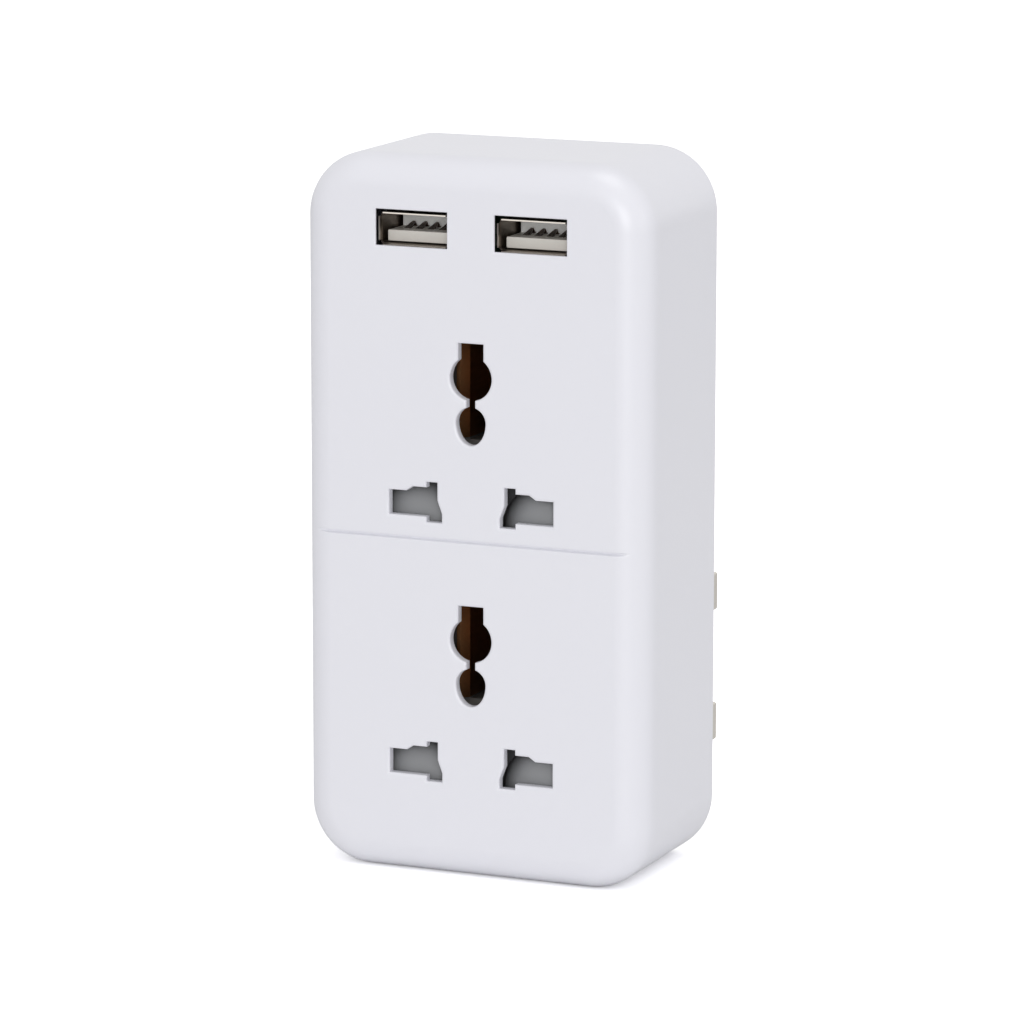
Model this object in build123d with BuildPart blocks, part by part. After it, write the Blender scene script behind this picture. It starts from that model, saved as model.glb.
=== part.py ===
from build123d import *

import os

# A wall adapter with two universal outlets one above the other, two USB charging
# ports above them and three rectangular plug pins behind.
# Millimetres. X runs to the right of someone who faces the outlets, Y runs from the
# outlets to the pins, Z is up. The origin is the middle of the face it stands on.

os.makedirs("parts", exist_ok=True)

# Body
body_width = 60.0
body_height = 117.6
body_depth = 31.2
corner_radius = 10.45
front_edge_radius = 5.3
side_wall = 2.2
front_wall = 1.9
rear_plate_thickness = 2.5
rear_plate_clearance = 0.15

# Outlets, measured from the line through the live and neutral slots
pin_pair_pitch = 22.23
groove_below_upper_line = 5.5
groove_width = 0.6
groove_depth = 0.3

# Live and neutral slot, right-hand one; the left-hand one is its mirror image
slot_inner = 4.95
slot_inner_high = 5.75
slot_blade_side = 7.9
slot_outer = 14.45
slot_shoulder_start = 10.2
slot_shoulder_end = 11.35
slot_tall_top = 3.7
slot_shoulder_top = 2.8
slot_top = 2.05
slot_bottom = 2.2
slot_deep_bottom = 3.1
slot_waist_high = 0.7
slot_waist_low = -1.45

# Earth hole
earth_slot_width = 4.6
earth_slot_top = 26.65
earth_round_diameter = 7.45
earth_round_height = 20.9
earth_neck_width = 1.75
earth_egg_width = 5.35
earth_egg_height = 13.7
earth_egg_top = 16.35
earth_egg_bottom = 9.9

# Shutters
shutter_width = 33.0
shutter_top = 4.5
shutter_bottom = 4.7
shutter_thickness = 5.6
shutter_web_width = 7.2
ramp_depth = 3.4
ramp_radius = 7.4
ramp_centre_drop = 3.6
quarter_turn = 90
running_gap = 0.3
rail_thickness = 1.3
rail_top = 6.0
rail_end_gap = 1.0
stop_width = 3.2
lower_stop_thickness = 0.6
spring_shelf_gap = 0.35
spring_shelf_foot = 3.0
spring_shelf_thickness = 1.2
spring_shelf_width = 7.0
spring_pocket_diameter = 4.0
spring_pocket_top = 2.6
spring_wire = 0.4
spring_diameter = 3.0
spring_turns = 8
spring_end_gap = 0.04
spring_peg_diameter = 2.0
spring_peg_height = 1.5

# Contact carrier
carrier_width = 39.0
carrier_bottom = 5.2
carrier_top_margin = 1.0
carrier_corner_radius = 3.0
carrier_plate = 1.6
chamber_wall = 1.2
chamber_inner_margin = 0.6
chamber_outer_margin = 1.0
chamber_half_height = 4.6
earth_chamber_width = 7.2
earth_chamber_bottom = 9.6
earth_chamber_top = 27.4

# Contacts
strip_thickness = 0.8
leaf_thickness = 0.6
earth_strip_gap = 1.6
strip_spacing = 4.0
jaw_gap = 4.1
jaw_inner = 8.2
jaw_outer = 14.6
jaw_mouth_depth = 8.6
jaw_mouth_flare = 1.1
jaw_flare_length = 1.5
blade_leaf_x = 5.2
blade_leaf_height = 6.0
strip_end_margin = 1.6
earth_jaw_bottom = 10.6
earth_jaw_top = 26.4
earth_jaw_mouth_depth = 3.2
earth_strip_width = 6.0
earth_strip_end = 3.5
arm_width = 5.4
neutral_arm_height = 9.0
neutral_arm_width = 3.0
neutral_leg_x = 18.4
tail_diameter = 3.0

# Plug pins
pin_thickness = 4.0
live_pin_width = 6.35
live_pin_length = 17.7
earth_pin_width = 8.0
earth_pin_length = 22.7
pin_side_offset = 22.23
pin_tip_length = 1.3
pin_tip_taper = 0.9
sleeve_length = 9.2
sleeve_wall = 0.5
sleeve_root = 1.5
pin_flange = 1.2
pin_seat_wall = 1.6
pin_seat_height = 2.7
pin_seat_corner_radius = 1.0

# Rear cover pillars
pillar_diameter = 4.4
earth_pillar_above_line = 20.0

# Case screws
boss_diameter = 5.6
boss_inset_x = 6.8
boss_inset_z = 7.3
screw_diameter = 2.4
screw_length = 9.0
screw_head_diameter = 4.8
screw_head_height = 1.3
screw_head_recess = 1.5
screw_cross_length = 2.9
screw_cross_width = 0.7
screw_cross_depth = 0.8
screw_hole_clearance = 0.3
screw_pilot_extra = 1.0

# USB ports and charger board
usb_below_top = 11.55
usb_above_line = 44.45
usb_side_offset = 10.33
usb_shell_width = 12.6
usb_shell_height = 5.2
usb_shell_wall = 0.25
usb_shell_inset = 0.45
usb_shell_drop = 0.15
usb_shell_corner_radius = 0.6
usb_lip_length = 0.8
usb_lip_flare = 0.12
usb_lip_relief = 0.7
usb_opening_gap = 0.05
tongue_width = 10.6
tongue_thickness = 1.8
tongue_inset = 1.45
tongue_above_shell = 0.35
usb_block_length = 5.0
usb_block_gap = 0.05
usb_contact_count = 4
usb_contact_pitch = 2.05
usb_contact_width = 0.8
usb_contact_thickness = 0.25
usb_contact_rise = 0.7
usb_contact_crest = 2.9
usb_contact_front = 2.5
usb_contact_back = 1.6
board_boss_gap = 0.4
board_end_gap = 1.0
board_corner_radius = 1.0
board_thickness = 1.6
board_depth = 14.8
board_post_diameter = 4.6
board_post_inset_x = 2.6
board_post_inset_z = 2.7
board_screw_diameter = 1.8
board_screw_length = 6.0
board_screw_head = 3.4
board_screw_head_height = 1.2
transformer_width = 13.0
transformer_height = 12.6
transformer_leg_width = 3.6
transformer_rim = 1.9
transformer_cover_gap = 1.1
core_thickness = 5.0
bobbin_gap = 0.1
bobbin_corner_radius = 0.8
input_capacitor_diameter = 8.0
input_capacitor_cover_gap = 1.3
input_capacitor_inset_x = 6.0
input_capacitor_below_top = 6.8
output_capacitor_diameter = 6.3
output_capacitor_cover_gap = 1.8
output_capacitor_inset_x = 6.4
output_capacitor_below_top = 5.6
capacitor_edge = 0.5
resistor_diameter = 2.6
resistor_length = 8.0
resistor_lead = 0.6
resistor_lead_reach = 2.2
resistor_lead_bend = 0.9
resistor_lift = 0.2
resistor_below_top = 2.1
chip_x = 8.0
chip_above_bottom = 2.9
rectifier_width = 4.8
rectifier_height = 3.4
rectifier_thickness = 2.4
controller_width = 5.0
controller_height = 3.4
controller_thickness = 1.6
chip_leg = 0.25
chip_leg_reach = 0.6
chip_leg_pitch = 1.27
chip_leg_width = 0.45
chip_legs_a_side = 4
lead_diameter = 1.6
lead_bend = 2.6
lead_above_line = 5.9
lead_above_board_bottom = 2.6
lead_reach = 4.6

# Levels along Y
front_y = -body_depth / 2
back_y = body_depth / 2
inner_front_y = front_y + front_wall
plate_inner_y = back_y - rear_plate_thickness
shutter_front_y = inner_front_y + running_gap
shutter_back_y = shutter_front_y + shutter_thickness
shutter_middle_y = shutter_front_y + shutter_thickness / 2
carrier_front_y = shutter_back_y + running_gap
carrier_plate_back_y = carrier_front_y + carrier_plate
pin_seat_y = plate_inner_y - pin_seat_height
earth_strip_back_y = pin_seat_y - earth_strip_gap
earth_strip_y = earth_strip_back_y - strip_thickness
live_strip_back_y = earth_strip_back_y - strip_spacing
live_strip_y = live_strip_back_y - strip_thickness
board_front_y = front_y + board_depth
board_back_y = board_front_y + board_thickness
shell_front_y = front_y + usb_shell_inset
tongue_front_y = shell_front_y + tongue_inset
component_room = plate_inner_y - board_back_y

# Heights and places. The USB ports and the upper outlet keep their distance from the top.
# The lower outlet shares what is left, so that both spring shelves have the same room.
usb_height = body_height - usb_below_top
usb_opening_margin = usb_lip_flare + usb_opening_gap
usb_places = {"left": -usb_side_offset, "right": usb_side_offset}
upper_line_height = usb_height - usb_above_line
shelf_to_shelf_extra = earth_slot_top + spring_shelf_gap - spring_shelf_foot
lower_line_height = (upper_line_height - shelf_to_shelf_extra) / 2
line_heights = {"lower": lower_line_height, "upper": upper_line_height}
groove_height = upper_line_height - groove_below_upper_line
boss_x = body_width / 2 - boss_inset_x
boss_places = [
    (side * boss_x, z) for side in (-1, 1) for z in (boss_inset_z, body_height - boss_inset_z)
]
rail_x = shutter_width / 2 + running_gap
ramp_x = pin_pair_pitch / 2
spring_shelf_height = lower_line_height - spring_shelf_foot - spring_shelf_thickness
rail_bottom = spring_shelf_height - rail_end_gap
shutter_travel = rail_bottom - lower_stop_thickness - running_gap - shutter_bottom
plug_centre_height = lower_line_height + pin_pair_pitch / 2
live_pin_height = plug_centre_height + pin_pair_pitch / 2
neutral_pin_height = plug_centre_height - pin_pair_pitch / 2
carrier_top = upper_line_height + earth_chamber_top + chamber_wall + carrier_top_margin
board_width = 2 * (boss_x - boss_diameter / 2 - board_boss_gap)
board_bottom = carrier_top + board_end_gap
board_top = body_height - side_wall - board_end_gap
board_middle_z = (board_bottom + board_top) / 2
board_post_x = board_width / 2 - board_post_inset_x
board_post_places = [(side * board_post_x, board_bottom + board_post_inset_z) for side in (-1, 1)]
print("Each shutter slides down by up to", round(shutter_travel, 3), "mm")


def across(depth):
    """A plane parallel to the front at this Y, with X and Z as its own axes.
    A positive extrusion from it runs towards the front."""
    return Plane.XZ.offset(-depth)


# One outlet's holes: two mirrored slots and the earth hole, about its live and neutral line
with BuildSketch() as outlet_holes:
    with BuildLine():
        Polyline(
            (slot_inner_high, slot_tall_top),
            (slot_blade_side, slot_tall_top),
            (slot_blade_side, slot_shoulder_top),
            (slot_shoulder_start, slot_shoulder_top),
            (slot_shoulder_end, slot_top),
            (slot_outer, slot_top),
            (slot_outer, -slot_bottom),
            (slot_blade_side, -slot_bottom),
            (slot_blade_side, -slot_deep_bottom),
            (slot_inner, -slot_deep_bottom),
            (slot_inner, slot_waist_low),
            (slot_inner_high, slot_waist_high),
            close=True,
        )
    make_face()
    mirror(about=Plane.YZ)
    slot_height = earth_slot_top - earth_round_height
    with Locations((0, earth_round_height + slot_height / 2)):
        Rectangle(earth_slot_width, slot_height)
    with Locations((0, earth_round_height)):
        Circle(earth_round_diameter / 2)
    with Locations((0, (earth_round_height + earth_egg_height) / 2)):
        Rectangle(earth_neck_width, earth_round_height - earth_egg_height)
    with BuildLine():
        EllipticalCenterArc(
            (0, earth_egg_height),
            earth_egg_width / 2,
            earth_egg_top - earth_egg_height,
            start_angle=0,
            arc_size=180,
        )
        EllipticalCenterArc(
            (0, earth_egg_height),
            earth_egg_width / 2,
            earth_egg_height - earth_egg_bottom,
            start_angle=180,
            arc_size=180,
        )
    make_face()

# Front cover: a deep tray with the outlets, the USB mouths, shutter rails and bosses
with BuildPart() as front_cover:
    with BuildSketch(across(back_y)):
        with Locations((0, body_height / 2)):
            RectangleRounded(body_width, body_height, corner_radius)
    extrude(amount=body_depth)
    fillet(front_cover.faces().sort_by(Axis.Y)[0].edges(), front_edge_radius)
    with BuildSketch(across(back_y)):
        with Locations((0, body_height / 2)):
            RectangleRounded(
                body_width - 2 * side_wall,
                body_height - 2 * side_wall,
                corner_radius - side_wall,
            )
    extrude(amount=body_depth - front_wall, mode=Mode.SUBTRACT)
    fillet(
        front_cover.faces().filter_by(Axis.Y).sort_by(Axis.Y)[1].edges(),
        front_edge_radius - side_wall,
    )

    # Bosses for the case screws and posts for the charger board
    with BuildSketch(across(plate_inner_y)):
        with Locations(*boss_places):
            Circle(boss_diameter / 2)
    extrude(amount=plate_inner_y - inner_front_y)
    with BuildSketch(across(plate_inner_y)):
        with Locations(*boss_places):
            Circle(screw_diameter / 2)
    extrude(amount=screw_length + screw_pilot_extra, mode=Mode.SUBTRACT)
    with BuildSketch(across(board_front_y)):
        with Locations(*board_post_places):
            Circle(board_post_diameter / 2)
    extrude(amount=board_front_y - inner_front_y)
    with BuildSketch(across(board_front_y)):
        with Locations(*board_post_places):
            Circle(board_screw_diameter / 2)
    extrude(amount=board_screw_length, mode=Mode.SUBTRACT)

    for line in line_heights.values():
        # Rails each side of the shutter, with stops at both ends of its travel
        rail_height = rail_top + rail_bottom
        with BuildSketch(across(carrier_front_y)):
            for side in (-1, 1):
                with Locations(
                    (side * (rail_x + rail_thickness / 2), line + (rail_top - rail_bottom) / 2)
                ):
                    Rectangle(rail_thickness, rail_height)
                stop_bottom = shutter_top + running_gap
                with Locations(
                    (side * (rail_x - stop_width / 2), line + (stop_bottom + rail_top) / 2)
                ):
                    Rectangle(stop_width, rail_top - stop_bottom)
                with Locations(
                    (side * (rail_x - stop_width / 2), line - rail_bottom + lower_stop_thickness / 2)
                ):
                    Rectangle(stop_width, lower_stop_thickness)
        extrude(amount=carrier_front_y - inner_front_y)
        # Shelf and peg under the return spring
        with BuildSketch(across(shutter_back_y)):
            with Locations((0, line - spring_shelf_height - spring_shelf_thickness / 2)):
                Rectangle(spring_shelf_width, spring_shelf_thickness)
        extrude(amount=shutter_thickness + running_gap)
        with BuildSketch(Plane.XY.offset(line - spring_shelf_height)):
            with Locations((0, shutter_middle_y)):
                Circle(spring_peg_diameter / 2)
        extrude(amount=spring_peg_height)
        # Outlet holes through the front wall
        with BuildSketch(across(inner_front_y)):
            with Locations((0, line)):
                add(outlet_holes.sketch)
        extrude(amount=front_wall, mode=Mode.SUBTRACT)

    # USB mouths and the groove between the two outlets
    with BuildSketch(across(inner_front_y)):
        with Locations(*[(x, usb_height) for x in usb_places.values()]):
            Rectangle(
                usb_shell_width + 2 * usb_opening_margin,
                usb_shell_height + 2 * (usb_opening_margin + usb_shell_drop),
            )
    extrude(amount=front_wall, mode=Mode.SUBTRACT)
    with BuildSketch(across(front_y + groove_depth)):
        with Locations((0, groove_height)):
            Rectangle(body_width, groove_width)
    extrude(amount=groove_depth, mode=Mode.SUBTRACT)
front_cover.part.label = "front_cover"
export_step(front_cover.part, "parts/front_cover.step")

# Rear cover: a plate with seats for the three plug pins and pillars that hold the contacts
jaw_middle = (jaw_inner + jaw_outer) / 2
pin_places = {
    "earth": (0, plug_centre_height, earth_pin_width, pin_thickness),
    "live": (pin_side_offset, live_pin_height, pin_thickness, live_pin_width),
    "neutral": (pin_side_offset, neutral_pin_height, pin_thickness, live_pin_width),
}
with BuildPart() as rear_cover:
    with BuildSketch(across(back_y)):
        with Locations((0, body_height / 2)):
            RectangleRounded(
                body_width - 2 * (side_wall + rear_plate_clearance),
                body_height - 2 * (side_wall + rear_plate_clearance),
                corner_radius - side_wall - rear_plate_clearance,
            )
    extrude(amount=rear_plate_thickness)
    with BuildSketch(across(plate_inner_y)):
        for x, z, width, height in pin_places.values():
            with Locations((x, z)):
                RectangleRounded(
                    width + 2 * pin_seat_wall, height + 2 * pin_seat_wall, pin_seat_corner_radius
                )
    extrude(amount=pin_seat_height)
    with BuildSketch(across(back_y)):
        for x, z, width, height in pin_places.values():
            with Locations((x, z)):
                Rectangle(width, height)
    extrude(amount=rear_plate_thickness + pin_seat_height, mode=Mode.SUBTRACT)
    with BuildSketch(across(plate_inner_y)):
        with Locations(*[(side * jaw_middle, z) for side in (-1, 1) for z in line_heights.values()]):
            Circle(pillar_diameter / 2)
    extrude(amount=plate_inner_y - live_strip_back_y)
    with BuildSketch(across(plate_inner_y)):
        with Locations(*[(0, z + earth_pillar_above_line) for z in line_heights.values()]):
            Circle(pillar_diameter / 2)
    extrude(amount=plate_inner_y - earth_strip_back_y)
    with BuildSketch(across(back_y)):
        with Locations(*boss_places):
            Circle(screw_diameter / 2 + screw_hole_clearance)
    extrude(amount=rear_plate_thickness, mode=Mode.SUBTRACT)
    with BuildSketch(across(back_y)):
        with Locations(*boss_places):
            Circle(screw_head_diameter / 2 + screw_hole_clearance)
    extrude(amount=screw_head_recess, mode=Mode.SUBTRACT)
rear_cover.part.label = "rear_cover"
export_step(rear_cover.part, "parts/rear_cover.step")

# Case screws: pan heads with a cross slot, driven in from behind
screw_head_y = back_y - screw_head_recess
with BuildPart() as case_screws:
    with BuildSketch(across(screw_head_y)):
        with Locations(*boss_places):
            Circle(screw_diameter / 2)
    extrude(amount=screw_length)
    with BuildSketch(across(screw_head_y + screw_head_height)):
        with Locations(*boss_places):
            Circle(screw_head_diameter / 2)
    extrude(amount=screw_head_height)
    with BuildSketch(across(screw_head_y + screw_head_height)):
        with Locations(*boss_places):
            Rectangle(screw_cross_length, screw_cross_width)
            Rectangle(screw_cross_width, screw_cross_length)
    extrude(amount=screw_cross_depth, mode=Mode.SUBTRACT)
case_screws.part.label = "case_screws"
export_step(case_screws.part, "parts/case_screws.step")

# Contact carrier: a plate on the shutter rails with an open chamber behind each hole
chamber_inner = slot_inner - chamber_inner_margin
chamber_outer = slot_outer + chamber_outer_margin
chamber_centre = (chamber_inner + chamber_outer) / 2
chamber_width = chamber_outer - chamber_inner
earth_chamber_centre = (earth_chamber_bottom + earth_chamber_top) / 2
earth_chamber_height = earth_chamber_top - earth_chamber_bottom
with BuildPart() as contact_carrier:
    with BuildSketch(across(carrier_plate_back_y)):
        with Locations((0, (carrier_bottom + carrier_top) / 2)):
            RectangleRounded(carrier_width, carrier_top - carrier_bottom, carrier_corner_radius)
    extrude(amount=carrier_plate)
    for line in line_heights.values():
        with BuildSketch(across(live_strip_y)):
            for side in (-1, 1):
                with Locations((side * chamber_centre, line)):
                    Rectangle(
                        chamber_width + 2 * chamber_wall,
                        2 * (chamber_half_height + chamber_wall),
                    )
        extrude(amount=live_strip_y - carrier_plate_back_y)
        with BuildSketch(across(earth_strip_y)):
            with Locations((0, line + earth_chamber_centre)):
                Rectangle(
                    earth_chamber_width + 2 * chamber_wall,
                    earth_chamber_height + 2 * chamber_wall,
                )
        extrude(amount=earth_strip_y - carrier_plate_back_y)
        with BuildSketch(across(earth_strip_y)):
            for side in (-1, 1):
                with Locations((side * chamber_centre, line)):
                    Rectangle(chamber_width, 2 * chamber_half_height)
            with Locations((0, line + earth_chamber_centre)):
                Rectangle(earth_chamber_width, earth_chamber_height)
        extrude(amount=earth_strip_y - carrier_front_y, mode=Mode.SUBTRACT)
contact_carrier.part.label = "contact_carrier"
export_step(contact_carrier.part, "parts/contact_carrier.step")

# Shutters: one slide behind each pair of slots, with a dome behind each slot that a
# blade pushes down, and a pocket for its spring in the web between the domes
for name, line in line_heights.items():
    ramp_z = line - ramp_centre_drop
    ramp_back_y = shutter_front_y + ramp_depth
    with BuildPart() as shutter:
        for x in (-ramp_x, ramp_x):
            with BuildSketch(Plane.YZ.offset(x)):
                with BuildLine():
                    EllipticalCenterArc(
                        (ramp_back_y, ramp_z),
                        ramp_depth,
                        ramp_radius,
                        start_angle=quarter_turn,
                        arc_size=quarter_turn,
                    )
                    Polyline(
                        (shutter_front_y, ramp_z),
                        (ramp_back_y, ramp_z),
                        (ramp_back_y, ramp_z + ramp_radius),
                    )
                make_face()
            revolve(axis=Axis((x, 0, ramp_z), (0, 1, 0)))
        with BuildSketch(across(shutter_back_y)):
            with Locations((0, line + (shutter_top - shutter_bottom) / 2)):
                Rectangle(shutter_width, shutter_top + shutter_bottom)
        extrude(amount=shutter_thickness, mode=Mode.INTERSECT)
        with BuildSketch(across(shutter_back_y)):
            with Locations((0, line + (shutter_top - shutter_bottom) / 2)):
                Rectangle(shutter_width, shutter_top + shutter_bottom)
        extrude(amount=shutter_thickness - ramp_depth)
        with BuildSketch(across(shutter_back_y)):
            with Locations((0, line + (shutter_top - shutter_bottom) / 2)):
                Rectangle(shutter_web_width, shutter_top + shutter_bottom)
        extrude(amount=shutter_thickness)
        with BuildSketch(Plane.XY.offset(line - shutter_bottom)):
            with Locations((0, shutter_middle_y)):
                Circle(spring_pocket_diameter / 2)
        extrude(amount=shutter_bottom + spring_pocket_top, mode=Mode.SUBTRACT)
    shutter.part.label = name + "_shutter"
    export_step(shutter.part, "parts/" + name + "_shutter.step")

    # Return spring, an open helix from the shelf to the top of the shutter's pocket
    spring_bottom = line - spring_shelf_height + spring_end_gap + spring_wire / 2
    spring_top = line + spring_pocket_top - spring_end_gap - spring_wire / 2
    with BuildPart() as spring:
        with BuildLine():
            coil = Helix(
                pitch=(spring_top - spring_bottom) / spring_turns,
                height=spring_top - spring_bottom,
                radius=spring_diameter / 2,
                center=(0, shutter_middle_y, spring_bottom),
            )
        with BuildSketch(Plane(origin=coil @ 0, z_dir=coil % 0)):
            Circle(spring_wire / 2)
        sweep(path=coil, is_frenet=True)
    spring.part.label = name + "_shutter_spring"
    export_step(spring.part, "parts/" + name + "_shutter_spring.step")

# Live and neutral contacts: a brass strip with a sprung jaw behind each slot, a side leaf
# for flat blades, and an arm to its plug pin
jaw_half = jaw_gap / 2
jaw_mouth_y = front_y + jaw_mouth_depth
jaw_width = jaw_outer - jaw_inner
strip_bottom = lower_line_height - jaw_half - leaf_thickness
strip_top = upper_line_height + lead_above_line + strip_end_margin
for name, side in (("live", 1), ("neutral", -1)):
    pin_x, pin_z, _, _ = pin_places[name]
    with BuildPart() as contact:
        with BuildSketch(across(live_strip_back_y)):
            foot = strip_bottom if name == "live" else neutral_arm_height - neutral_arm_width / 2
            with Locations((side * jaw_middle, (foot + strip_top) / 2)):
                Rectangle(jaw_width, strip_top - foot)
            for line in line_heights.values():
                with Locations((side * (blade_leaf_x + jaw_inner) / 2, line)):
                    Rectangle(jaw_inner - blade_leaf_x, blade_leaf_height)
            if name == "live":
                arm_start = jaw_middle
                arm_end = pin_x + arm_width / 2
                with Locations(((arm_start + arm_end) / 2, pin_z)):
                    Rectangle(arm_end - arm_start, arm_width)
            else:
                leg_right = neutral_leg_x + neutral_arm_width / 2
                leg_left = neutral_leg_x - neutral_arm_width / 2
                arm_end = pin_x + arm_width / 2
                with Locations(((leg_right - jaw_middle) / 2, neutral_arm_height)):
                    Rectangle(leg_right + jaw_middle, neutral_arm_width)
                leg_top = pin_z + arm_width / 2
                with Locations((neutral_leg_x, (foot + leg_top) / 2)):
                    Rectangle(neutral_arm_width, leg_top - foot)
                with Locations(((leg_left + arm_end) / 2, pin_z)):
                    Rectangle(arm_end - leg_left, arm_width)
            with Locations((pin_x, pin_z)):
                Circle(tail_diameter / 2, mode=Mode.SUBTRACT)
        extrude(amount=strip_thickness)
        for line in line_heights.values():
            with BuildSketch(Plane.YZ.offset(side * jaw_inner)):
                for up in (1, -1):
                    with BuildLine():
                        Polyline(
                            (live_strip_y, line + up * jaw_half),
                            (jaw_mouth_y + jaw_flare_length, line + up * jaw_half),
                            (jaw_mouth_y, line + up * (jaw_half + jaw_mouth_flare)),
                            (jaw_mouth_y, line + up * (jaw_half + jaw_mouth_flare + leaf_thickness)),
                            (jaw_mouth_y + jaw_flare_length, line + up * (jaw_half + leaf_thickness)),
                            (live_strip_y, line + up * (jaw_half + leaf_thickness)),
                            close=True,
                        )
                    make_face()
            extrude(amount=side * jaw_width)
            with BuildSketch(Plane.YZ.offset(side * blade_leaf_x)):
                with Locations(((jaw_mouth_y + live_strip_y) / 2, line)):
                    Rectangle(live_strip_y - jaw_mouth_y, blade_leaf_height)
            extrude(amount=side * leaf_thickness)
    contact.part.label = name + "_contact"
    export_step(contact.part, "parts/" + name + "_contact.step")

# Earth contact: two tall jaws on one strip, deeper in because the earth pin is longer
earth_mouth_y = front_y + earth_jaw_mouth_depth
earth_strip_bottom = plug_centre_height - earth_strip_end
earth_strip_top = upper_line_height + earth_jaw_top
with BuildPart() as earth_contact:
    with BuildSketch(across(earth_strip_back_y)):
        with Locations((0, (earth_strip_bottom + earth_strip_top) / 2)):
            Rectangle(earth_strip_width, earth_strip_top - earth_strip_bottom)
        with Locations((0, plug_centre_height)):
            Circle(tail_diameter / 2, mode=Mode.SUBTRACT)
    extrude(amount=strip_thickness)
    for line in line_heights.values():
        with BuildSketch(Plane.XY.offset(line + earth_jaw_bottom)):
            for side in (1, -1):
                with BuildLine():
                    Polyline(
                        (side * jaw_half, earth_strip_y),
                        (side * jaw_half, earth_mouth_y + jaw_flare_length),
                        (side * (jaw_half + jaw_mouth_flare), earth_mouth_y),
                        (side * (jaw_half + jaw_mouth_flare + leaf_thickness), earth_mouth_y),
                        (side * (jaw_half + leaf_thickness), earth_mouth_y + jaw_flare_length),
                        (side * (jaw_half + leaf_thickness), earth_strip_y),
                        close=True,
                    )
                make_face()
        extrude(amount=earth_jaw_top - earth_jaw_bottom)
earth_contact.part.label = "earth_contact"
export_step(earth_contact.part, "parts/earth_contact.step")

# Plug pins, each riveted through its strip and held by a flange against the rear cover
pin_lengths = {"earth": earth_pin_length, "live": live_pin_length, "neutral": live_pin_length}
for name, (x, z, width, height) in pin_places.items():
    strip_back_y = earth_strip_back_y if name == "earth" else live_strip_back_y
    tip_y = back_y + pin_lengths[name]
    sleeve_start = back_y - sleeve_root
    sleeve_end = back_y + sleeve_length
    with BuildPart() as pin:
        with BuildSketch(across(tip_y)):
            with Locations((x, z)):
                Rectangle(width, height)
        extrude(amount=tip_y - strip_back_y)
        chamfer(
            pin.faces().sort_by(Axis.Y)[-1].edges(),
            length=pin_tip_taper,
            length2=pin_tip_length,
            reference=pin.faces().sort_by(Axis.Y)[-1],
        )
        with BuildSketch(across(pin_seat_y)):
            with Locations((x, z)):
                Rectangle(width + 2 * pin_flange, height + 2 * pin_flange)
        extrude(amount=pin_flange)
        with BuildSketch(across(strip_back_y)):
            with Locations((x, z)):
                Circle(tail_diameter / 2)
        extrude(amount=strip_thickness)
        if name != "earth":
            with BuildSketch(across(sleeve_end)):
                with Locations((x, z)):
                    Rectangle(width, height)
                    Rectangle(width - 2 * sleeve_wall, height - 2 * sleeve_wall, mode=Mode.SUBTRACT)
            extrude(amount=sleeve_end - sleeve_start, mode=Mode.SUBTRACT)
    pin.part.label = name + "_pin"
    export_step(pin.part, "parts/" + name + "_pin.step")

    if name != "earth":
        with BuildPart() as sleeve:
            with BuildSketch(across(sleeve_end)):
                with Locations((x, z)):
                    Rectangle(width, height)
                    Rectangle(width - 2 * sleeve_wall, height - 2 * sleeve_wall, mode=Mode.SUBTRACT)
            extrude(amount=sleeve_end - sleeve_start)
        sleeve.part.label = name + "_pin_sleeve"
        export_step(sleeve.part, "parts/" + name + "_pin_sleeve.step")

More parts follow.
